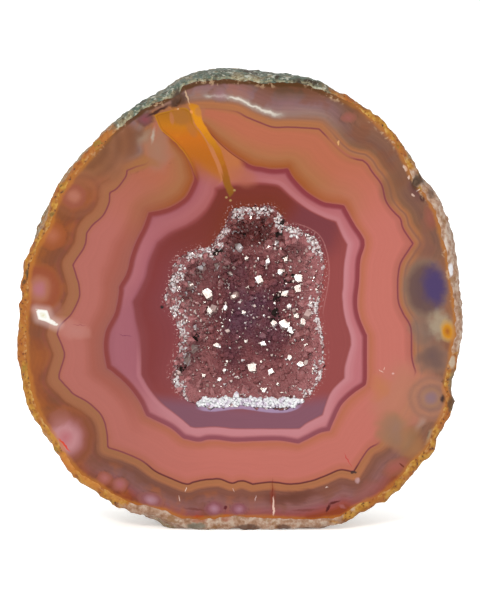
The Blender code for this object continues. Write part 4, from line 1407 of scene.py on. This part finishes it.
def frost(rng, struck):
    """Frost round the hollow's edge: along its arcs, then in brighter clumps."""
    grains = []
    while len(grains) < FROST_COUNT:
        degrees = rng.uniform(0, 360)
        turn = math.radians(degrees)
        share, width = next(arc[2:] for arc in FROST_ARCS if arc[0] <= degrees <= arc[1])
        edge_radius = reach(HOLLOW_POLAR, np.array([math.remainder(turn, math.tau)]))[0]
        over = place(turn, edge_radius - abs(rng.gauss(0, 0.5)) * width * MM, 0.0) / MM
        patch = 0.45 + 1.7 * noise.noise(Vector(over) / 2.1)
        hit, _ = struck(over[0], over[2])
        if hit is None or rng.random() > share * patch:
            continue
        hit.y -= rng.uniform(0.0, 0.5) * MM
        grains.append(one_grain(rng, hit, rng.choice(FROST_RADII) * MM))
    for x, z, half_width, half_height, count in FROST_CLUMPS:
        for _ in range(count):
            hit, _ = struck(x + rng.gauss(0, 0.6) * half_width, z + rng.gauss(0, 0.6) * half_height)
            if hit is not None:
                hit.y -= rng.uniform(0.0, 0.7) * MM
                grains.append(one_grain(rng, hit, rng.choice(CLUMP_RADII) * MM))
    return grains


def snow(rng):
    """The white crust along the hollow's floor, with one bigger grain on it."""
    grains = []
    for _ in range(SNOW_COUNT):
        x = rng.uniform(*SNOW_ACROSS)
        ends = min(1.0, (x - SNOW_ACROSS[0]) / 1.2, (SNOW_ACROSS[1] - x) / 1.2)
        top = SNOW_HEIGHTS[1] + 0.55 * noise.noise(Vector((x / 1.3, 0.0, 4.0))) - 0.8 * (1 - max(ends, 0.0))
        at = Vector((x, CUT_Y / MM + rng.uniform(0.25, 1.5), rng.uniform(SNOW_HEIGHTS[0], top))) * MM
        grains.append(one_grain(rng, at, rng.uniform(0.16, 0.42) * MM))
    grains.append(one_grain(rng, Vector((-1.0, CUT_Y / MM + 0.9, 27.3)) * MM, 0.75 * MM))
    return grains


def dark_minerals(rng, struck):
    """Clusters of dark mineral grains on the crystals."""
    grains = []
    for x, z, radius in DARK_CLUSTERS:
        for _ in range(int(14 * radius)):
            hit, normal = struck(x + rng.gauss(0, 0.42) * radius, z + rng.gauss(0, 0.42) * radius)
            if hit is not None:
                size = rng.uniform(0.12, 0.42) * radius * MM
                grains.append(one_grain(rng, hit + normal * 0.35 * MM, size))
    return grains


def build_crust(eye, light):
    """The crust of quartz: a bowl of tiny points, with crystals, frost and dark grains standing on it."""
    rng = random.Random(7)
    bm, tree, spots = crystal_bed(rng)

    def struck(x, z):
        """Where the line of sight through a place on the face meets the bed, and which way it faces."""
        at = Vector((x * MM, CUT_Y, z * MM))
        return tree.ray_cast(eye, (at - eye).normalized())[:2]

    def to_light(point, jitter=0.0):
        """The way a facet at this point has to face to throw the light at the eye."""
        half_way = (eye - point).normalized() + (light - point).normalized()
        return (half_way.normalized() + Vector(rng.gauss(0, jitter) for _ in range(3))).normalized()

    def facets(places, size, jitter, lift):
        """A facet at each of these places, which faces the way that throws the light at the eye."""
        made = []
        for x, z, radius in places:
            hit, _ = struck(x, z)
            made.append(facet_crystal(rng, size * radius * MM, hit, to_light(hit, jitter), eye, lift))
        return made

    # The order of these follows from the random draws
    add_all(bm, standing_crystals(rng, spots, eye), CLEAR)
    add_all(bm, facets(FLASHES, 1.3, 0.0, 1.0), FLASHING)
    add_all(bm, facets(MILKY_FACETS, 1.0, 0.12, 0.7), MILKY)
    sparkles = []
    while len(sparkles) < SPARKLE_COUNT:
        turn = rng.uniform(-math.pi, math.pi)
        share = rng.random() ** 0.42
        over = place(turn, reach(HOLLOW_POLAR, np.array([turn]))[0] * share, 0.0) / MM
        hit, _ = struck(over[0], over[2])
        if hit is not None:
            radius = rng.choice(SPARKLE_RADII) * MM
            sparkles.append(facet_crystal(rng, radius, hit, to_light(hit, 0.04), eye, 0.8))
    add_all(bm, sparkles[:SPARKLE_COUNT // 2], FLASHING)
    add_all(bm, sparkles[SPARKLE_COUNT // 2:], MILKY)
    add_all(bm, frost(rng, struck), FROSTED)
    add_all(bm, snow(rng), SNOWY)
    add_all(bm, dark_minerals(rng, struck), DARK)

    for vertex in bm.verts:
        vertex.co.y = max(vertex.co.y, CUT_Y)
    mesh = bpy.data.meshes.new("crystal_bed")
    bm.to_mesh(mesh)
    bm.free()
    crust = bpy.data.objects.new("crystal_bed", mesh)
    bpy.context.scene.collection.objects.link(crust)
    finishes = {
        BED: bed_quartz, CLEAR: clear_quartz, FROSTED: frosted_quartz, SNOWY: snow_quartz,
        MILKY: milky_quartz, DARK: dark_grains, FLASHING: flashing_quartz,
    }
    for kind in sorted(finishes):
        mesh.materials.append(finishes[kind]())
    return crust


def add_all(bm, bodies, material):
    """Moves many small bodies into bm, in this one of its materials, a batch at a time."""
    for first in range(0, len(bodies), BATCH):
        batch = bmesh.new()
        for body in bodies[first:first + BATCH]:
            add_body(batch, body, material)
        add_body(bm, batch, material)


def add_body(bm, body, material):
    """Moves one small body into bm, in this one of its materials."""
    for face in body.faces:
        face.material_index = material
    carrier = bpy.data.meshes.new("carrier")
    body.to_mesh(carrier)
    body.free()
    bm.from_mesh(carrier)
    bpy.data.meshes.remove(carrier)


def one_crystal(rng, radius):
    """A six-sided crystal with a pointed end, upright, its foot at the origin."""
    length = radius * rng.uniform(0.7, 1.6)
    bm = bmesh.new()
    bmesh.ops.create_cone(
        bm, cap_ends=True, cap_tris=False, segments=6, radius1=radius,
        radius2=radius * rng.uniform(0.85, 1.0), depth=length, matrix=Matrix.Translation((0.0, 0.0, length / 2)),
    )
    top = max(bm.faces, key=lambda face: face.calc_center_median().z)
    tip = bmesh.ops.poke(bm, faces=[top])["verts"][0]
    tip.co += Vector((rng.uniform(-0.4, 0.4), rng.uniform(-0.4, 0.4), rng.uniform(0.7, 1.2))) * radius
    squeeze = Vector((rng.uniform(0.7, 1.2), rng.uniform(0.7, 1.2), 1.0))
    bmesh.ops.scale(bm, verts=bm.verts, vec=squeeze)
    bm.normal_update()
    return bm


def stand_up(crystal, foot, axis, turn, sunk):
    """Stands a crystal on its foot along this axis, sunk into the bed."""
    stand = axis.to_track_quat("Z", "Y").to_matrix().to_4x4() @ Matrix.Rotation(turn, 4, "Z")
    sink = Matrix.Translation(foot - axis * (sunk + 0.15 * MM))
    bmesh.ops.transform(crystal, verts=crystal.verts, matrix=sink @ stand)


def facet_crystal(rng, radius, foot, facing, eye, lift):
    """A crystal that ends in one flat, irregular facet, which faces this way and stands clear of the bed."""
    bm = bmesh.new()
    deep = radius + lift * MM
    bmesh.ops.create_cone(
        bm, cap_ends=True, cap_tris=False, segments=rng.choice((3, 4, 4, 5, 6)), radius1=radius * 1.3,
        radius2=radius, depth=deep, matrix=Matrix.Translation((0.0, 0.0, -deep / 2)),
    )
    for vertex in bm.verts:
        vertex.co.x += rng.uniform(-0.28, 0.28) * radius
        vertex.co.y += rng.uniform(-0.28, 0.28) * radius
    squeeze = Vector((rng.uniform(0.65, 1.15), rng.uniform(0.8, 1.25), 1.0))
    bmesh.ops.scale(bm, verts=bm.verts, vec=squeeze)
    spin = Matrix.Rotation(rng.uniform(0, math.tau), 4, "Z")
    stand = facing.to_track_quat("Z", "Y").to_matrix().to_4x4() @ spin
    at = foot + (eye - foot).normalized() * lift * MM
    at.y = max(at.y, CUT_Y + radius * 0.3 + 0.05 * MM)
    bmesh.ops.transform(bm, verts=bm.verts, matrix=Matrix.Translation(at) @ stand)
    return bm


def one_grain(rng, middle, radius):
    """An irregular grain."""
    bm = bmesh.new()
    bmesh.ops.create_icosphere(bm, subdivisions=1, radius=radius)
    for vertex in bm.verts:
        vertex.co *= rng.uniform(0.65, 1.25)
    bmesh.ops.translate(bm, verts=bm.verts, vec=middle)
    return bm


def build_camera():
    """The camera, straight in front of the face and a little above it."""
    data = bpy.data.cameras.new("camera")
    data.sensor_width = SENSOR
    data.lens = SENSOR * VIEW_DISTANCE / FRAME_HEIGHT
    data.clip_start = 0.01
    camera = bpy.data.objects.new("camera", data)
    elevation = math.radians(VIEW_ELEVATION)
    camera.location = VIEW_TARGET + Vector((0.0, -math.cos(elevation), math.sin(elevation))) * VIEW_DISTANCE
    camera.rotation_euler = (math.radians(90 - VIEW_ELEVATION), 0.0, 0.0)
    bpy.context.scene.collection.objects.link(camera)
    bpy.context.scene.camera = camera
    return camera


def build_studio():
    """A white room, one soft box and a pale floor."""
    world = bpy.data.worlds.new("white_room")
    world.use_nodes = True
    background = world.node_tree.nodes["Background"]
    background.inputs["Color"].default_value = (1.0, 1.0, 1.0, 1.0)
    background.inputs["Strength"].default_value = ROOM_LIGHT
    bpy.context.scene.world = world
    bpy.context.scene.view_settings.view_transform = "Standard"

    light = bpy.data.lights.new("soft_box", "AREA")
    light.shape = "SQUARE"
    light.size = BOX_SIDE
    light.color = BOX_COLOUR
    light.energy = BOX_RADIANCE * math.pi * BOX_SIDE**2
    box = bpy.data.objects.new("soft_box", light)
    box.location = BOX_PLACE
    aim = Vector(CENTRE) - BOX_PLACE
    box.rotation_euler = aim.to_track_quat("-Z", "Y").to_euler()
    bpy.context.scene.collection.objects.link(box)

    bm = bmesh.new()
    bmesh.ops.create_grid(bm, x_segments=1, y_segments=1, size=3.0)
    mesh = bpy.data.meshes.new("floor")
    bm.to_mesh(mesh)
    bm.free()
    floor = bpy.data.objects.new("floor", mesh)
    bpy.context.scene.collection.objects.link(floor)
    paint = Paint("floor")
    sockets = {
        "Base Color": (0.93, 0.93, 0.93), "Roughness": 0.9,
        "Emission Color": (1.0, 1.0, 1.0), "Emission Strength": FLOOR_GLOW,
    }
    mesh.materials.append(paint.finish(sockets))
    return box


camera = build_camera()
box = build_studio()
stone = build_stone()
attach(stone, "root")
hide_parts("agate_nodule")
crust = build_crust(camera.location.copy(), BOX_PLACE)
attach(crust, "root")
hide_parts("crystal_crust")

bpy.context.view_layer.update()
